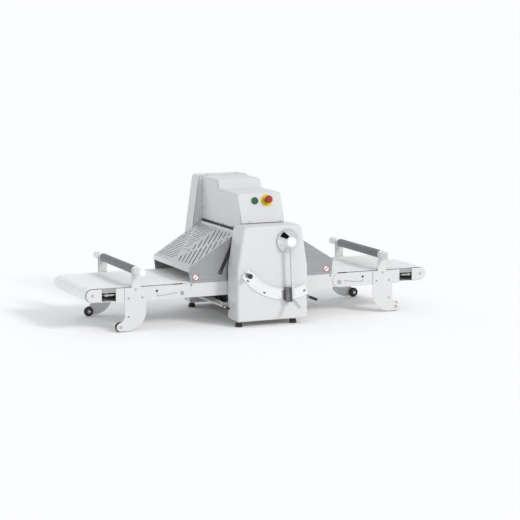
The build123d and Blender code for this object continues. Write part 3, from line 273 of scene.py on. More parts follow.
# Its edges are painted lighter: a painted highlight.
dark_fork = finish("dark_fork", (0.14, 0.14, 0.145), (0.24, 0.24, 0.25), (0.28, 0.42),
                   metal=0.4, clouds=28.0, grain=700.0, bump=0.06, edge=0.0008,
                   edge_tone=(0.30, 0.30, 0.31))
coat_with(polished_strip, "index_plate")
coat_with(dark_fork, "index_shoe")

# Conveyor belts: one endless white polyurethane belt on woven fabric for each table. It runs over
# the drive roller beside the sheeting rollers and the end roller.
BELT_THICK = 0.002


def settle(piece, name):
    """The piece gets its name, and its place goes into its mesh."""
    let_go()
    piece.name = name
    piece.data.name = name
    piece.select_set(True)
    bpy.context.view_layer.objects.active = piece
    bpy.ops.object.transform_apply(location=True, rotation=True, scale=True)
    return piece


def bring_to_hand(piece):
    """The piece alone is selected and active."""
    let_go()
    piece.select_set(True)
    bpy.context.view_layer.objects.active = piece


def pick(piece, wanted, kind="VERT"):
    """In edit mode, selects the vertices, edges or faces for which wanted is true."""
    bpy.ops.object.mode_set(mode="EDIT")
    bpy.ops.mesh.select_mode(type=kind)
    bpy.ops.mesh.select_all(action="DESELECT")
    bpy.ops.object.mode_set(mode="OBJECT")
    mesh = piece.data
    parts = {"VERT": mesh.vertices, "EDGE": mesh.edges, "FACE": mesh.polygons}[kind]
    for part in parts:
        part.select = bool(wanted(part))
    bpy.ops.object.mode_set(mode="EDIT")


def smooth(piece, angle=38.0):
    bring_to_hand(piece)
    bpy.ops.object.shade_smooth_by_angle(angle=math.radians(angle))


def conveyor_belt(side):
    """An endless band: a tube as wide as the belt, pulled out into two runs and thickened."""
    near_low, near_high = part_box(side + "_drive_roller")
    loop_low, loop_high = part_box(side + "_outer_belt")
    radius = (loop_high.z - loop_low.z) / 2
    level = (loop_high.z + loop_low.z) / 2
    near_x = (near_low.x + near_high.x) / 2
    far_x = loop_low.x + radius if side == "left" else loop_high.x - radius
    middle = (near_x + far_x) / 2
    let_go()
    bpy.ops.mesh.primitive_cylinder_add(vertices=62, radius=radius, depth=loop_high.y - loop_low.y,
                                        end_fill_type="NOTHING", location=(middle, BELT_Y, level),
                                        rotation=(math.radians(90), 0, 0))
    band = settle(bpy.context.object, side + "_conveyor_belt")
    for way in (-1, 1):
        pick(band, lambda v: (v.co.x - middle) * way > 0.0002)
        bpy.ops.transform.translate(value=(way * abs(far_x - near_x) / 2, 0, 0))
    long_run = abs(far_x - near_x)
    bpy.ops.object.mode_set(mode="OBJECT")
    pick(band, lambda e: abs(band.data.vertices[e.vertices[0]].co.x
                             - band.data.vertices[e.vertices[1]].co.x) > 0.5 * long_run, "EDGE")
    bpy.ops.mesh.subdivide(number_cuts=110)
    bpy.ops.mesh.select_all(action="SELECT")
    bpy.ops.mesh.normals_make_consistent(inside=False)
    bpy.ops.object.mode_set(mode="OBJECT")
    bring_to_hand(band)
    wall = band.modifiers.new("thickness", "SOLIDIFY")
    wall.thickness = BELT_THICK
    wall.offset = -1.0
    bpy.ops.object.modifier_apply(modifier="thickness")
    smooth(band, 50)
    return band


# The belt's edges are painted darker: painted shade.
belt_cloth = finish("belt_cloth", (0.84, 0.842, 0.835), (0.91, 0.912, 0.908), (0.46, 0.66),
                    clouds=4.0, stretch=(0.5, 2.2, 1), grain=650.0, bump=0.22, relief=0.0003,
                    edge=0.0005, edge_tone=(0.60, 0.60, 0.59), edge_share=0.5)
for side, way in (("left", -1), ("right", 1)):
    belt = conveyor_belt(side)
    belt.data.materials.append(belt_cloth)
    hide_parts(side + "_belt_fold", side + "_outer_belt", "inner_belts")
    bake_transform(belt)

# Thickness lever: a chromed hub that flares from a white nose cap to a wide rim, a flat chromed
# arm with rounded edges pressed into it, and a turned chromed grip screwed into the arm's end.


def turned(name, profile, foot, axis, sides=48, bore=False):
    """A round piece built up ring by ring from foot along axis; a step is (how far, radius).
    With a bore the rings stay open, and the last one closes on the first."""
    axis = Vector(axis).normalized()
    foot = Vector(foot)
    let_go()
    bpy.ops.mesh.primitive_circle_add(vertices=sides, radius=profile[0][1],
                                      fill_type="NOTHING" if bore else "NGON",
                                      location=foot + axis * profile[0][0],
                                      rotation=axis.to_track_quat("Z", "Y").to_euler())
    piece = bpy.context.object
    bpy.ops.object.mode_set(mode="EDIT")
    bpy.ops.mesh.select_mode(type="EDGE" if bore else "FACE")
    bpy.ops.mesh.select_all(action="SELECT")
    for (a0, r0), (a1, r1) in zip(profile, profile[1:]):
        if bore:
            bpy.ops.mesh.extrude_edges_move(TRANSFORM_OT_translate={"value": axis * (a1 - a0)})
        else:
            bpy.ops.mesh.extrude_region_move(TRANSFORM_OT_translate={"value": axis * (a1 - a0)})
        if abs(r1 - r0) > 1e-9:
            bpy.ops.transform.resize(value=(r1 / r0,) * 3, center_override=foot + axis * a1)
    bpy.ops.mesh.select_all(action="SELECT")
    if bore:
        bpy.ops.mesh.remove_doubles(threshold=1e-6)
    bpy.ops.mesh.normals_make_consistent(inside=False)
    piece = settle(piece, name)
    smooth(piece)
    return piece


def quarter(a0, r0, a1, r1, steps):
    """The steps of a quarter round from (a0, r0) to (a1, r1)."""
    turns = [math.radians(90) * k / steps for k in range(1, steps + 1)]
    return [(a0 + (a1 - a0) * math.sin(t), r0 + (r1 - r0) * (1 - math.cos(t))) for t in turns]


def hand_over(piece, made, slot, body, *stands_for):
    """The piece gets its finish, rides on its body and stands for these CAD nodes."""
    piece.data.materials.clear()
    piece.data.materials.append(made)
    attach(piece, body)
    if stands_for:
        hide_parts(*stands_for)
    return piece


# Chrome's edges are painted near black: a painted dark reflection outlining the hub, arm, grip and
# post.
chrome = finish("chrome", (0.74, 0.75, 0.76), (0.84, 0.85, 0.86), (0.05, 0.13), metal=1.0,
                clouds=16.0, grain=500.0, bump=0.02, relief=0.0002, edge=0.0014,
                edge_tone=(0.05, 0.05, 0.05), edge_share=0.9)
cap_white = finish("cap_white", (0.80, 0.80, 0.80), (0.86, 0.86, 0.86), (0.18, 0.28),
                   clouds=30.0, grain=800.0, bump=0.04, coat=0.4, edge=0.0006)
hub_low, hub_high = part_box("lever_hub")
hub_x, hub_z = (hub_low.x + hub_high.x) / 2, (hub_low.z + hub_high.z) / 2
hub_r, nose_r = (hub_high.z - hub_low.z) / 2, 0.029
hub_foot = Vector((hub_x, hub_high.y, hub_z))
depth = hub_high.y - hub_low.y
flare = [(0.0, hub_r - 0.004), (0.0005, hub_r - 0.0012), (0.0022, hub_r), (0.0072, hub_r),
         (0.0090, hub_r - 0.0012), (0.0096, hub_r - 0.0038), (0.0104, hub_r - 0.0052)]
flare += [(0.0104 + (depth - 0.0144) * t,
           nose_r + 0.0015 + (hub_r - 0.0067 - nose_r) * (1 - t) ** 1.18)
          for t in (k / 12 for k in range(1, 13))]
flare += [(depth - 0.0022, nose_r + 0.0009), (depth - 0.0012, nose_r - 0.0006),
          (depth - 0.0012, nose_r - 0.0030), (depth - 0.0026, nose_r - 0.0034)]
hub = turned("lever_hub_flare", flare, hub_foot, (0, -1, 0), 72)
hand_over(hub, chrome, "chrome", "lever", "lever_hub")
cap_disc = [(depth - 0.0030, nose_r - 0.0036), (depth - 0.0012, nose_r - 0.0036),
            (depth - 0.0004, nose_r - 0.0046), (depth - 0.0001, nose_r - 0.0075),
            (depth, nose_r - 0.0130), (depth, 0.004)]
cap = turned("lever_hub_cap", cap_disc, hub_foot, (0, -1, 0), 64)
hand_over(cap, cap_white, "white_plastic", "lever")
rim_dot_at = hub_foot + Vector((0.010, 0, hub_r * 0.95 - 0.006))
dot = turned("lever_hub_mark", [(0.0, 0.0036), (0.0022, 0.0036), (0.0030, 0.0028),
                                (0.0030, 0.0018), (0.0020, 0.0014)],
             rim_dot_at + Vector((0, -0.0085, 0)), (0, -1, 0), 24)
hand_over(dot, dark_fork, "black_steel", "lever")


def eased(piece, width, steps=2, limit=30.0):
    """Rounds the piece's sharp edges by width."""
    bring_to_hand(piece)
    ease = piece.modifiers.new("eased", "BEVEL")
    ease.width = width
    ease.segments = steps
    ease.limit_method = "ANGLE"
    ease.angle_limit = math.radians(limit)
    bpy.ops.object.modifier_apply(modifier="eased")
    smooth(piece)
    return piece


def bar_between(name, low, high):
    """A bar that fills the space from low to high."""
    low, high = Vector(low), Vector(high)
    let_go()
    bpy.ops.mesh.primitive_cube_add(size=1.0, location=(low + high) / 2, scale=high - low)
    return settle(bpy.context.object, name)


arm_low, arm_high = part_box("lever_arm")
grip_low, grip_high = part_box("lever_handle")
arm_w, arm_lean, grip_reach = 0.013, math.radians(2.05), 0.294
arm = bar_between("lever_arm_bar", (hub_x - arm_w / 2, arm_low.y, arm_low.z),
                  (hub_x + arm_w / 2, arm_high.y, hub_z))
bring_to_hand(arm)
bpy.ops.object.mode_set(mode="EDIT")
bpy.ops.mesh.select_all(action="SELECT")
bpy.ops.mesh.subdivide(number_cuts=1)
bpy.ops.object.mode_set(mode="OBJECT")
pick(arm, lambda v: v.co.z < arm_low.z + 0.001)
bpy.ops.transform.resize(value=(0.90, 0.94, 1.0), center_override=(hub_x, arm_low.y, arm_low.z))
bpy.ops.object.mode_set(mode="OBJECT")
for v in arm.data.vertices:
    v.co.x += (hub_z - v.co.z) * math.tan(arm_lean)
eased(arm, 0.0022, 3)
hand_over(arm, chrome, "chrome", "lever", "lever_arm")

grip_r = (grip_high.x - grip_low.x) / 2
drop = math.radians(21.0)
grip_axis = Vector((0, -math.cos(drop), -math.sin(drop)))
grip_len = 0.094
grip_foot = Vector(((grip_low.x + grip_high.x) / 2, (arm_low.y + arm_high.y) / 2,
                    hub_z - grip_reach * math.cos(arm_lean)))
grip_steps = [(0.004, grip_r * 0.74), (0.010, grip_r * 0.74), (0.0108, grip_r * 0.98),
              (0.0130, grip_r * 0.98), (0.0136, grip_r * 0.80), (0.0150, grip_r * 0.80),
              (0.0162, grip_r * 0.93), (0.030, grip_r * 0.975), (0.052, grip_r),
              (0.074, grip_r * 0.985), (grip_len - grip_r * 0.8, grip_r * 0.95)]
grip_steps += quarter(grip_len - grip_r * 0.8, grip_r * 0.95, grip_len, grip_r * 0.12, 8)
grip = turned("lever_grip", grip_steps, grip_foot, grip_axis, 40)
hand_over(grip, chrome, "chrome", "lever", "lever_handle")
knuckle = turned("lever_knuckle", [(-0.0012, 0.0052), (-0.0024, 0.0062), (-0.0046, 0.0064),
                                   (-0.0060, 0.0050), (-0.0060, 0.0030), (-0.0044, 0.0026)],
                 (grip_foot.x, arm_high.y - 0.0005, grip_foot.z), (0, -1, 0), 32)
hand_over(knuckle, ground_steel, "bright_steel", "lever")

# End stop and clamp screws of the index plate: a chromed post with a black rubber sleeve stands
# on the plate's left end. Three socket screws hold the plate, each in an oval slot; the slots are
# thin black ovals laid on the plate's face, painted shade for the slots' dark inside.
post_low, post_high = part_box("arc_end_stop")
post_r = (post_high.x - post_low.x) / 2
post_len = post_high.y - post_low.y
post_foot = Vector(((post_low.x + post_high.x) / 2, post_high.y, (post_low.z + post_high.z) / 2))
collar_len = post_len * 0.34
post_steps = [(0.0, post_r * 0.93), (0.0012, post_r), (collar_len - 0.0010, post_r),
              (collar_len, post_r * 0.94), (collar_len, post_r * 0.60),
              (collar_len + 0.004, post_r * 0.60)]
post = turned("index_end_post", post_steps, post_foot, (0, -1, 0), 48)
hand_over(post, chrome, "chrome", "machine", "arc_end_stop")
sleeve_black = finish("sleeve_black", (0.010, 0.010, 0.011), (0.018, 0.018, 0.019), (0.16, 0.26),
                      clouds=30.0, grain=900.0, bump=0.05, edge=0.0006, coat=0.5)
sleeve_steps = [(collar_len + 0.0004, post_r * 0.55), (collar_len + 0.0004, post_r * 0.90),
                (collar_len + 0.0014, post_r * 0.95), (post_len - post_r * 0.6, post_r * 0.95)]
sleeve_steps += quarter(post_len - post_r * 0.6, post_r * 0.95, post_len, post_r * 0.25, 7)
sleeve = turned("index_end_sleeve", sleeve_steps, post_foot, (0, -1, 0), 48)
hand_over(sleeve, sleeve_black, "black_plastic", "machine")

strip_thick = 0.005
strip_face_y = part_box("index_plate")[1].y - strip_thick
# This black paints the shade inside the index plate's slots, and it is also the emergency stop
# stem's own black.
slot_shade_and_black_plastic = finish("slot_shade_and_black_plastic", (0.010, 0.010, 0.010), (0.020, 0.020, 0.020), (0.5, 0.7),
                    clouds=30.0, grain=900.0, edge=0.0003)


def hub_point(distance, degrees):
    """A point in X and Z this far from the hub; the angle is from straight down."""
    a = math.radians(degrees)
    return hub_x + distance * math.sin(a), hub_z - distance * math.cos(a)


slot_places = ((0.289, -48.5), (0.286, -26.2), (0.276, 19.9))
slot_r, slot_deep, slot_pull = 0.0046, 0.0008, 0.0026
for k, (distance, degrees) in enumerate(slot_places):
    x, z = hub_point(distance, degrees)
    let_go()
    bpy.ops.mesh.primitive_cylinder_add(vertices=32, radius=slot_r, depth=slot_deep,
                                        location=(x, strip_face_y - 0.0002, z),
                                        rotation=(math.radians(90), 0, 0))
    slot_shade_mark = settle(bpy.context.object, f"index_slot_shade_{k + 1}")
    along = Vector((math.cos(math.radians(degrees)), 0, math.sin(math.radians(degrees))))
    for way in (-1, 1):
        pick(slot_shade_mark, lambda v: (v.co - Vector((x, v.co.y, z))).dot(along) * way > 0.0004)
        bpy.ops.transform.translate(value=along * way * slot_pull)
        bpy.ops.object.mode_set(mode="OBJECT")
    eased(slot_shade_mark, 0.0003, 1)
    hand_over(slot_shade_mark, slot_shade_and_black_plastic, "black_steel", "machine")
    head = turned(f"index_screw_{k + 1}", [(0.0004, 0.0032), (0.0030, 0.0032), (0.0038, 0.0026),
                                           (0.0038, 0.0018), (0.0020, 0.0016)],
                  (x, strip_face_y, z), (0, -1, 0), 24)
    hand_over(head, ground_steel, "bright_steel", "machine")

# Buttons on the hood's leaning front: a domed green start button in a white collar, and a red
# mushroom on a stem over a yellow ring. Each is moulded plastic and pushes straight in.


def solids_in(name):
    """Lowest and highest corner of each loose solid of a CAD node, sorted from left to right."""
    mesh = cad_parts[name].data
    keys = [tuple(round(c, 6) for c in v.co) for v in mesh.vertices]
    home = {}

    def root(a):
        while home.setdefault(a, a) != a:
            home[a] = home[home[a]]
            a = home[a]
        return a

    for face in mesh.polygons:
        first = root(keys[face.vertices[0]])
        for i in face.vertices[1:]:
            home[root(keys[i])] = first
    groups = {}
    for key in keys:
        groups.setdefault(root(key), []).append(key)
    boxes = [(Vector(map(min, zip(*g))), Vector(map(max, zip(*g)))) for g in groups.values()]
    return sorted(boxes, key=lambda b: (b[0].x + b[1].x, b[0].y + b[1].y, b[0].z + b[1].z))


def centre_of(box):
    return (box[0] + box[1]) / 2


lean_out = Vector((0, -0.95117, 0.30866))
collar_box, ring_box = solids_in("button_collars")
start_foot = centre_of(collar_box) - lean_out * 0.002
ring_foot = centre_of(ring_box) - lean_out * 0.0015
button_green = finish("button_green", (0.004, 0.075, 0.024), (0.006, 0.105, 0.035), (0.20, 0.32),
                      clouds=40.0, grain=900.0, bump=0.05, edge=0.0005, coat=0.3)
button_red = finish("button_red", (0.26, 0.020, 0.005), (0.34, 0.034, 0.009), (0.22, 0.34),
                    clouds=40.0, grain=900.0, bump=0.05, edge=0.0006, coat=0.3)
button_yellow = finish("button_yellow", (0.80, 0.52, 0.012), (0.88, 0.60, 0.02), (0.28, 0.40),
                       clouds=40.0, grain=900.0, bump=0.05, edge=0.0005)
collar = turned("start_collar", [(0.0, 0.0205), (0.0028, 0.0205), (0.0038, 0.0198),
                                 (0.0040, 0.0190), (0.0036, 0.0184), (0.0012, 0.0184),
                                 (0.0012, 0.0112), (0.0, 0.0112), (0.0, 0.0205)],
                start_foot, lean_out, 56, bore=True)
hand_over(collar, cap_white, "white_plastic", "machine", "button_collars")
start_steps = [(-0.008, 0.0106), (0.006, 0.0106), (0.006, 0.0178), (0.0068, 0.0180),
               (0.0092, 0.0180)]
start_steps += [(0.0092 + 0.0028 * math.sin(a), 0.0180 * math.cos(a) ** 0.6)
                for a in map(math.radians, (15, 30, 45, 60, 75, 84))]
start = turned("start_push_cap", start_steps, start_foot, lean_out, 48)
hand_over(start, button_green, "green_plastic", "start_button", "start_button")
ring = turned("estop_ring", [(0.0, 0.0308), (0.0018, 0.0310), (0.0028, 0.0302), (0.0030, 0.0290),
                             (0.0026, 0.0190), (0.0020, 0.0180), (0.0020, 0.0112), (0.0, 0.0112),
                             (0.0, 0.0308)], ring_foot, lean_out, 64, bore=True)
hand_over(ring, button_yellow, "yellow_plastic", "machine")
stem = turned("estop_stem", [(-0.008, 0.0106), (0.012, 0.0106), (0.013, 0.0138), (0.0232, 0.0138),
                             (0.0236, 0.0120)], ring_foot, lean_out, 40)
hand_over(stem, slot_shade_and_black_plastic, "black_plastic", "estop_head")
head_steps = [(0.0232, 0.0125), (0.0238, 0.0165), (0.0250, 0.0190), (0.0268, 0.0199),
              (0.0290, 0.0200), (0.0325, 0.0194), (0.0356, 0.0178), (0.0378, 0.0152),
              (0.0392, 0.0116), (0.0399, 0.0070), (0.0400, 0.0022)]
mushroom = turned("estop_mushroom", head_steps, ring_foot, lean_out, 48)
hand_over(mushroom, button_red, "red_plastic", "estop_head", "estop_head")

# Rolling pins: a grey tube that spins on a white core. The core is turned from one plastic bar:
# cones beside the tube, necks in the cradles of the legs and long round-ended grips.
# The tube's edges are painted lighter: a painted highlight.
tube_skin = finish("tube_skin", (0.135, 0.138, 0.142), (0.185, 0.188, 0.192), (0.34, 0.5),
                   clouds=10.0, stretch=(1, 0.3, 1), grain=900.0, bump=0.12, edge=0.0008,
                   edge_tone=(0.30, 0.30, 0.30))
pin_white = finish("pin_white", (0.80, 0.80, 0.80), (0.86, 0.86, 0.855), (0.30, 0.42),
                   clouds=14.0, stretch=(1, 0.3, 1), grain=800.0, bump=0.08, edge=0.0008)
neck_r, knob_share = 0.012, 0.92
for side in ("left", "right"):
    tube_low, tube_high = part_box(side + "_pin_tube")
    core_low, core_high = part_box(side + "_pin_core")
    leg_low, leg_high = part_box(side + "_leg_set")
    pin_x, pin_z = (tube_low.x + tube_high.x) / 2, (tube_low.z + tube_high.z) / 2
    tube_r, half = (tube_high.z - tube_low.z) / 2, (tube_high.y - tube_low.y) / 2
    knob_r, end = (core_high.z - core_low.z) / 2 * knob_share, (core_high.y - core_low.y) / 2
    outer = (leg_high.y - leg_low.y) / 2
    middle = Vector((pin_x, BELT_Y, pin_z))
    tube_steps = [(-half, neck_r + 0.0002), (-half, tube_r - 0.0026),
                  (-half + 0.0008, tube_r - 0.0012), (-half + 0.0022, tube_r - 0.0002),
                  (-half + 0.004, tube_r), (-half / 2, tube_r), (0.0, tube_r),
                  (half / 2, tube_r), (half - 0.004, tube_r), (half - 0.0022, tube_r - 0.0002),
                  (half - 0.0008, tube_r - 0.0012), (half, tube_r - 0.0026),
                  (half, neck_r + 0.0002), (-half, neck_r + 0.0002)]
    tube = turned(side + "_pin_roll", tube_steps, middle, (0, 1, 0), 56, bore=True)
    hand_over(tube, tube_skin, "tube_grey", side + "_pin_tube", side + "_pin_tube")
    turns = [math.radians(90) * k / 9 for k in range(1, 9)]
    grip_end = [(end - 0.010 + 0.010 * math.sin(t), knob_r - 0.011 * (1 - math.cos(t)))
                for t in turns]
    half_core = [(0.0, neck_r), (half + 0.0003, neck_r), (half + 0.0004, tube_r - 0.0035),
                 (half + 0.0020, tube_r - 0.0012), (half + 0.0045, tube_r - 0.0006),
                 (half + 0.0120, tube_r - 0.0022), (outer - 0.0085, neck_r + 0.0024),
                 (outer - 0.0080, neck_r + 0.0008), (outer - 0.0080, neck_r),
                 (outer + 0.0052, neck_r), (outer + 0.0062, neck_r + 0.0030),
                 (outer + 0.0085, knob_r - 0.0018), (outer + 0.0115, knob_r - 0.0002),
                 (outer + 0.020, knob_r), (end - 0.010, knob_r)] + grip_end + [(end, 0.004)]
    core_steps = [(-a, r) for a, r in reversed(half_core)][:-1] + half_core
    core = turned(side + "_pin_bar", core_steps, middle, (0, 1, 0), 48)
    hand_over(core, pin_white, "white_plastic", side + "_pin", side + "_pin_core")

# Table wheels: a broad black rubber tyre is moulded on a dark hub, and each wheel spins free on its
# axle. Five windows are sunk into the hub's outer web.
tyre_rubber = finish("tyre_rubber", (0.014, 0.014, 0.015), (0.030, 0.030, 0.031), (0.55, 0.78),
                     clouds=40.0, grain=900.0, bump=0.25, edge=0.0006)
hub_grey = finish("wheel_hub_grey", (0.055, 0.056, 0.058), (0.085, 0.086, 0.088), (0.38, 0.52),
                  clouds=40.0, grain=900.0, bump=0.08, edge=0.0005)
for side in ("left", "right"):
    for row in ("front", "rear"):
        name = f"{side}_{row}_wheel"
        low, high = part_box(name)
        axle = (low + high) / 2
        r, half = (high.z - low.z) / 2, (high.y - low.y) / 2
        out = -1 if row == "front" else 1
        tyre_steps = [(-half, r * 0.70), (-half, r * 0.80), (-half + 0.0012, r * 0.88),
                      (-half + 0.0036, r * 0.96), (-half + 0.0065, r), (half - 0.0065, r),
                      (half - 0.0036, r * 0.96), (half - 0.0012, r * 0.88), (half, r * 0.80),
                      (half, r * 0.70), (-half, r * 0.70)]
        tyre = turned(f"{name}_tyre", tyre_steps, axle, (0, out, 0), 56, bore=True)
        hand_over(tyre, tyre_rubber, "wheel_black", name, name)
        hub_steps = [(-half + 0.001, r * 0.70), (-half + 0.001, r * 0.64),
                     (-half + 0.0035, r * 0.61), (-half + 0.0035, r * 0.36), (-half, r * 0.33),
                     (-half, 0.0051), (half, 0.0051), (half, r * 0.33),
                     (half - 0.0035, r * 0.36), (half - 0.0035, r * 0.61),
                     (half - 0.001, r * 0.64), (half - 0.001, r * 0.70),
                     (-half + 0.001, r * 0.70)]
        wheel_hub = turned(f"{name}_hub", hub_steps, axle, (0, out, 0), 40, bore=True)
        web_r = (r * 0.36 + r * 0.61) / 2

        def window(face):
            """Faces of the outer web, six of every eight round the axle."""
            at = face.center - axle
            if at.y * out < half - 0.0045 or abs(math.hypot(at.x, at.z) - web_r) > 0.001:
                return False
            return int((math.degrees(math.atan2(at.z, at.x)) % 360) / 9) % 8 < 6

        pick(wheel_hub, window, "FACE")
        bpy.ops.mesh.inset(thickness=0.0006, depth=0.0)
        bpy.ops.mesh.extrude_region_move(TRANSFORM_OT_translate={"value": (0, -out * 0.004, 0)})
        bpy.ops.object.mode_set(mode="OBJECT")
        smooth(wheel_hub)
        hand_over(wheel_hub, hub_grey, "tube_grey", name)

# Screws, pivot pins and axle bolts: zinc plated steel. The screws have a low domed head with a
# sunk round socket, and the belts' tension bolts are plain rods with a hexagon nut.
screw_steel = finish("screw_steel", (0.46, 0.465, 0.47), (0.58, 0.585, 0.59), (0.22, 0.36),
                     metal=1.0, clouds=60.0, grain=900.0, bump=0.05, edge=0.0003)


def screw_head(name, foot, axis, r, height):
    """A domed head with a socket, standing on foot."""
    steps = [(-0.0006, r * 0.96), (0.0, r), (height * 0.38, r), (height * 0.72, r * 0.92),
             (height * 0.93, r * 0.72), (height, r * 0.46), (height * 0.35, r * 0.40)]
    return turned(name, steps, foot, axis, 20)


for k, solid in enumerate(solids_in("casing_screws")):
    size = solid[1] - solid[0]
    if size.z < size.x:
        head = screw_head(f"casing_screw_{k + 1}", centre_of(solid) - Vector((0, 0, size.z / 2)),
                          (0, 0, 1), size.x / 2, size.z)
    else:
        way = 1 if centre_of(solid).x > 0 else -1
        head = screw_head(f"casing_screw_{k + 1}",
                          centre_of(solid) - Vector((way * size.x / 2, 0, 0)), (way, 0, 0),
                          size.z / 2, size.x)
    hand_over(head, screw_steel, "bright_steel", "machine",
              *(["casing_screws"] if k == 0 else []))

nut_in = 0.024
nylon_black = finish("nylon_black", (0.016, 0.016, 0.017), (0.030, 0.030, 0.031), (0.38, 0.55),
                     clouds=40.0, grain=1100.0, bump=0.15, edge=0.0005)
for side in ("left", "right"):
    for k, solid in enumerate(solids_in(side + "_table_fasteners")):
        size, mid = solid[1] - solid[0], centre_of(solid)
        out = -1 if mid.y < BELT_Y else 1
        name = f"{side}_table_bolt_{k + 1}"
        face_y = solid[0].y if out < 0 else solid[1].y
        if size.x > 0.05:           # a belt's tension bolt
            tip = size.x / 2
            rod = turned(name, [(-tip, 0.0013), (-tip, 0.0014), (-tip + 0.012, 0.0014),
                                (-tip + 0.012, 0.0050), (tip - 0.012, 0.0050),
                                (tip - 0.012, 0.0014), (tip, 0.0014)], mid, (1, 0, 0), 20)
            way = 1 if side == "right" else -1
            nut_x = (solid[1].x if way > 0 else solid[0].x) - way * nut_in
            nut = turned(name + "_nut", [(-0.006, 0.0080), (-0.0056, 0.0088), (0.0056, 0.0088),
                                         (0.006, 0.0080), (0.006, 0.0052)],
                         (nut_x, mid.y, mid.z), (1, 0, 0), 6)
            hand_over(nut, screw_steel, "bright_steel", side + "_table")
        elif size.y > 0.025:        # a wheel's axle bolt
            rod = turned(name, [(0.0, 0.0028), (0.0, 0.0058), (-0.0008, 0.0068), (-0.0030, 0.0070),
                                (-0.0030, 0.0049), (0.0035 - size.y, 0.0049),
                                (0.0035 - size.y, 0.0078), (-size.y, 0.0078), (-size.y, 0.0050)],
                         (mid.x, face_y, mid.z), (0, out, 0), 28)
        elif size.x > 0.015:        # a pivot pin of the fold
            rod = turned(name, [(0.0, 0.0024), (0.0, 0.0054), (-0.0012, 0.0058), (-0.0012, 0.0070),
                                (-0.0002, 0.0075), (0.0, 0.0092), (-0.0008, 0.0099),
                                (-0.0030, 0.0100), (-0.0030, 0.0059), (-size.y, 0.0059)],
                         (mid.x, face_y, mid.z), (0, out, 0), 36)
        else:                       # a leg screw
            head_high = 0.0025
            rod = screw_head(name, (mid.x, face_y - out * head_high, mid.z), (0, out, 0),
                             size.x / 2, head_high)
        hand_over(rod, screw_steel, "bright_steel", side + "_table",
                  *([side + "_table_fasteners"] if k == 0 else []))

# Feet: a black rubber pad moulded on a zinc plated stud with a hexagon nut against the flange.
for k, (low, high) in enumerate(solids_in("feet")):
    at = Vector(((low.x + high.x) / 2, (low.y + high.y) / 2, low.z))
    r = (high.x - low.x) / 2
    pad_steps = [(0.0, r * 0.88), (0.0015, r), (0.0060, r), (0.0075, r * 0.96),
                 (0.0170, r * 0.90), (0.0205, r * 0.84), (0.0220, r * 0.70)]
    pad = turned(f"foot_pad_{k + 1}", pad_steps, at, (0, 0, 1), 40)
    hand_over(pad, tyre_rubber, "black_plastic", "machine", *(["feet"] if k == 0 else []))
    stud_steps = [(0.0215, 0.0085), (0.0222, 0.0062)]
    for step in range(7):
        stud_steps += [(0.0230 + 0.0026 * step, 0.0050), (0.0243 + 0.0026 * step, 0.0044)]
    stud_steps += [(high.z - at.z - 0.001, 0.0049), (high.z - at.z, 0.0042)]
    stud = turned(f"foot_stud_{k + 1}", stud_steps, at, (0, 0, 1), 24)
    hand_over(stud, screw_steel, "bright_steel", "machine")
    nut = turned(f"foot_nut_{k + 1}", [(0.0220, 0.0080), (0.0226, 0.0090), (0.0284, 0.0090),
                                       (0.0290, 0.0080), (0.0290, 0.0052)], at, (0, 0, 1), 6)
    hand_over(nut, screw_steel, "bright_steel", "machine")

# Reversing bars: each white bar ends in a black grip of ribbed rubber. The grip is pushed on, and
# a black clamp ring holds it.
GRIP_SHARE = 0.86
for k, (low, high) in enumerate(solids_in("reverse_grips")):
    r = (high.z - low.z) / 2 * GRIP_SHARE
    length = high.y - low.y
    foot = Vector(((low.x + high.x) / 2, high.y, (low.z + high.z) / 2))
    rib_steps = [(0.0, 0.0061), (0.0, r * 0.93), (0.0012, r), (0.0050, r), (0.0056, r * 0.86)]
    ribs = max(2, int((length - 0.016) / 0.006))
    for step in range(ribs):
        a = 0.0070 + step * (length - 0.016) / ribs
        rib_steps += [(a, r * 0.86), (a + 0.0012, r * 0.96), (a + 0.0034, r * 0.96),
                      (a + 0.0046, r * 0.86)]
    rib_steps += [(length - 0.0070, r * 0.90), (length - 0.0050, r), (length - 0.0022, r * 0.94),
                  (length - 0.0006, r * 0.72), (length, r * 0.40)]
    grip = turned(f"reversing_grip_{k + 1}", rib_steps, foot, (0, -1, 0), 32)
    hand_over(grip, nylon_black, "black_plastic", "reverse_rocker",
              *(["reverse_grips"] if k == 0 else []))
    clamp_steps = [(-0.034, 0.0061), (-0.034, 0.0088), (-0.033, 0.0096), (-0.025, 0.0096),
                   (-0.024, 0.0088), (-0.024, 0.0061)]
    clamp = turned(f"reversing_clamp_{k + 1}", clamp_steps, foot, (0, -1, 0), 32)
    hand_over(clamp, black_bar, "black_steel", "reverse_rocker")

# Gear motor under the belts: a cast body with cooling fins and a fan cover, bolted to a cast
# gearbox with a lid, all in dark machine enamel.
# Its edges are painted lighter: a painted highlight.
motor_enamel = finish("motor_enamel", (0.050, 0.054, 0.060), (0.085, 0.090, 0.098), (0.38, 0.55),
                      clouds=10.0, grain=260.0, bump=0.25, relief=0.0006, edge=0.0015,
                      edge_tone=(0.20, 0.20, 0.20))
motor_box, gearbox_box = sorted(solids_in("gear_motor"), key=lambda b: b[0].y)
motor_low, motor_high = motor_box
body_r = (motor_high.x - motor_low.x) / 2
body_len = motor_high.y - motor_low.y
motor_foot = Vector(((motor_low.x + motor_high.x) / 2, motor_high.y,
                     (motor_low.z + motor_high.z) / 2))
fin_steps = [(0.0, body_r * 0.96), (0.004, body_r), (0.016, body_r), (0.018, body_r * 0.90)]
fin_count = 16
for step in range(fin_count):
    a = 0.022 + step * (body_len - 0.090) / fin_count
    fin_steps += [(a, body_r * 0.86), (a + 0.0005, body_r * 0.99), (a + 0.0038, body_r * 0.99),
                  (a + 0.0043, body_r * 0.86)]
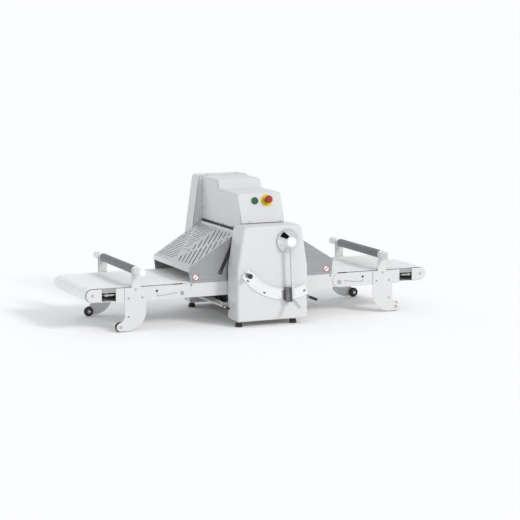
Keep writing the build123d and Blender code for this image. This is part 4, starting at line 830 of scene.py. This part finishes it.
fin_steps += [(body_len - 0.062, body_r * 0.90), (body_len - 0.060, body_r),
              (body_len - 0.022, body_r), (body_len - 0.012, body_r * 0.93),
              (body_len - 0.003, body_r * 0.80), (body_len, body_r * 0.70),
              (body_len, body_r * 0.10)]
motor = turned("drive_motor", fin_steps, motor_foot, (0, -1, 0), 48)
hand_over(motor, motor_enamel, "cast_body", "machine", "gear_motor")
gearbox = bar_between("drive_gearbox", *gearbox_box)
pick(gearbox, lambda f: f.normal.y < -0.9, "FACE")
bpy.ops.mesh.inset(thickness=0.012, depth=0.0)
bpy.ops.mesh.extrude_region_move(TRANSFORM_OT_translate={"value": (0, 0.004, 0)})
bpy.ops.object.mode_set(mode="OBJECT")
pick(gearbox, lambda f: abs(f.normal.x) > 0.9, "FACE")
bpy.ops.mesh.inset(thickness=0.010, depth=0.0)
bpy.ops.mesh.inset(thickness=0.002, depth=-0.003)
bpy.ops.object.mode_set(mode="OBJECT")
eased(gearbox, 0.0025, 3)
hand_over(gearbox, motor_enamel, "cast_body", "machine")

# Hinge covers: a black strip screwed along the bottom edge of each side of the hood hides the
# guard's hinge rod, and a thicker block near its front end holds the rod's spring.
hood_low, hood_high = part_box("hood")
block_len, cover_screws_at = 0.100, (0.220, 0.360)
for side, way in (("left", -1), ("right", 1)):
    guard_low, guard_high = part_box(side + "_guard")
    hood_side = hood_low.x if way < 0 else hood_high.x
    xs = sorted((hood_side + way * 0.0003, hood_side + way * 0.0058))
    strip = bar_between(side + "_hinge_cover", (xs[0], guard_low.y + 0.004, hood_low.z - 0.0015),
                        (xs[1], guard_high.y - 0.004, hood_low.z + 0.0085))
    eased(strip, 0.0010, 2)
    hand_over(strip, black_bar, "black_steel", "machine")
    xs = sorted((hood_side + way * 0.0010, hood_side + way * 0.0105))
    block = bar_between(side + "_hinge_block", (xs[0], guard_low.y + 0.002, hood_low.z + 0.0010),
                        (xs[1], guard_low.y + block_len, hood_low.z + 0.0115))
    pick(block, lambda f: f.normal.x * way > 0.9, "FACE")
    bpy.ops.mesh.inset(thickness=0.0020, depth=0.0)
    bpy.ops.mesh.extrude_region_move(TRANSFORM_OT_translate={"value": (way * 0.0012, 0, 0)})
    bpy.ops.object.mode_set(mode="OBJECT")
    eased(block, 0.0008, 2)
    hand_over(block, nylon_black, "black_plastic", "machine")
    for k, along in enumerate(cover_screws_at):
        head = screw_head(f"{side}_cover_screw_{k + 1}",
                          (hood_side - way * 0.0002, guard_low.y + along, hood_low.z + 0.0145),
                          (way, 0, 0), 0.0032, 0.0022)
        hand_over(head, screw_steel, "bright_steel", "machine")

# Two small plated screws hold the bottom edge of the hood's leaning front to the frame. They stand
# square to the front's slope.
for k, x in enumerate((-0.0723, 0.0974)):
    head = screw_head(f"hood_front_screw_{k + 1}", (x, hood_low.y + 0.0020, 0.5150),
                      lean_out, 0.0030, 0.0022)
    hand_over(head, screw_steel, "bright_steel", "machine")

# Warning rings: a printed red ring on a white disc, one riveted low on each guard's front cheek.
# It stands for the hand sign of such guards and carries no drawing and no words.
ring_red = finish("ring_red", (0.22, 0.014, 0.022), (0.27, 0.020, 0.028), (0.34, 0.46),
                  clouds=40.0, grain=900.0, edge=0.0003)
sign_in, sign_up = 0.038, 0.027
for side, way in (("left", -1), ("right", 1)):
    guard_low, guard_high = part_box(side + "_guard")
    lip_x = guard_low.x if way < 0 else guard_high.x
    at = Vector((lip_x - way * sign_in, guard_low.y, guard_low.z + sign_up))
    disc = turned(side + "_sign_disc", [(-0.0002, 0.0195), (0.0006, 0.0195), (0.0009, 0.0190),
                                        (0.0009, 0.0020)], at, (0, -1, 0), 48)
    hand_over(disc, cap_white, "white_plastic", side + "_guard")
    band = turned(side + "_sign_ring", [(0.0006, 0.0190), (0.0012, 0.0188), (0.0012, 0.0148),
                                        (0.0006, 0.0146), (0.0006, 0.0190)], at, (0, -1, 0), 48,
                  bore=True)
    hand_over(band, ring_red, "red_plastic", side + "_guard")
    slash = bar_between(side + "_sign_bar", at + Vector((-0.0158, -0.0013, -0.0019)),
                        at + Vector((0.0158, -0.0006, 0.0019)))
    bring_to_hand(slash)
    bpy.ops.transform.rotate(value=math.radians(45), orient_axis="Y", center_override=at)
    settle(slash, side + "_sign_bar")
    eased(slash, 0.0002, 1)
    hand_over(slash, ring_red, "red_plastic", side + "_guard")

# Rail fittings: a black plug in each latch hole, the sprung wire that locks a folded table, and
# the small dark catch screw below each guard's front cheek, which takes the guard when it is shut.
catch_x, catch_z = 0.3856, 0.2114
plug_along, plug_above = 0.135, 0.011
wire_r = 0.0011
wire_route = [(0.030, -0.010), (0.033, -0.003), (0.060, -0.008), (0.100, -0.013),
              (0.126, -0.015), (0.133, -0.012), (0.135, -0.004)]
for side, way in (("left", -1), ("right", 1)):
    rail_boxes = [b for b in solids_in(side + "_table_rails") if b[1].x - b[0].x > 0.2]
    for low, high in rail_boxes:
        out = -1 if (low.y + high.y) / 2 < BELT_Y else 1
        row = "front" if out < 0 else "rear"
        face_y = low.y if out < 0 else high.y
        pivot_end = low.x if way > 0 else high.x
        pivot_x = pivot_end + way * (high.z - low.z) / 2
        mid_z = (low.z + high.z) / 2
        if out < 0:
            catch = screw_head(f"{side}_guard_catch", (way * catch_x, high.y + 0.0008, catch_z),
                               (0, -1, 0), 0.0042, 0.0030)
            hand_over(catch, dark_fork, "black_steel", "machine")
        plug_steps = [(-0.0030, 0.0038), (0.0, 0.0038), (0.0002, 0.0062), (0.0010, 0.0058),
                      (0.0014, 0.0040), (0.0008, 0.0026)]
        plug = turned(f"{side}_{row}_latch_plug", plug_steps,
                      (pivot_x + way * plug_along, face_y, mid_z + plug_above), (0, out, 0), 28)
        hand_over(plug, nylon_black, "black_plastic", side + "_table")
        let_go()
        line = bpy.data.curves.new(f"{side}_{row}_latch_wire", "CURVE")
        line.dimensions = "3D"
        line.bevel_depth = wire_r
        line.bevel_resolution = 3
        spline = line.splines.new("POLY")
        spline.points.add(len(wire_route) - 1)
        for point, (along, above) in zip(spline.points, wire_route):
            point.co = (pivot_x + way * along, face_y + out * 0.0012, mid_z + above, 1.0)
        wire = bpy.data.objects.new(f"{side}_{row}_latch_wire", line)
        bpy.context.scene.collection.objects.link(wire)
        bring_to_hand(wire)
        bpy.ops.object.convert(target="MESH")
        wire = settle(bpy.context.object, f"{side}_{row}_latch_wire")
        bpy.ops.object.mode_set(mode="EDIT")
        bpy.ops.mesh.select_all(action="SELECT")
        bpy.ops.mesh.select_mode(type="EDGE")
        bpy.ops.mesh.region_to_loop()
        bpy.ops.mesh.edge_face_add()
        bpy.ops.mesh.select_all(action="SELECT")
        bpy.ops.mesh.normals_make_consistent(inside=False)
        bpy.ops.object.mode_set(mode="OBJECT")
        smooth(wire, 60)
        hand_over(wire, screw_steel, "bright_steel", side + "_table")
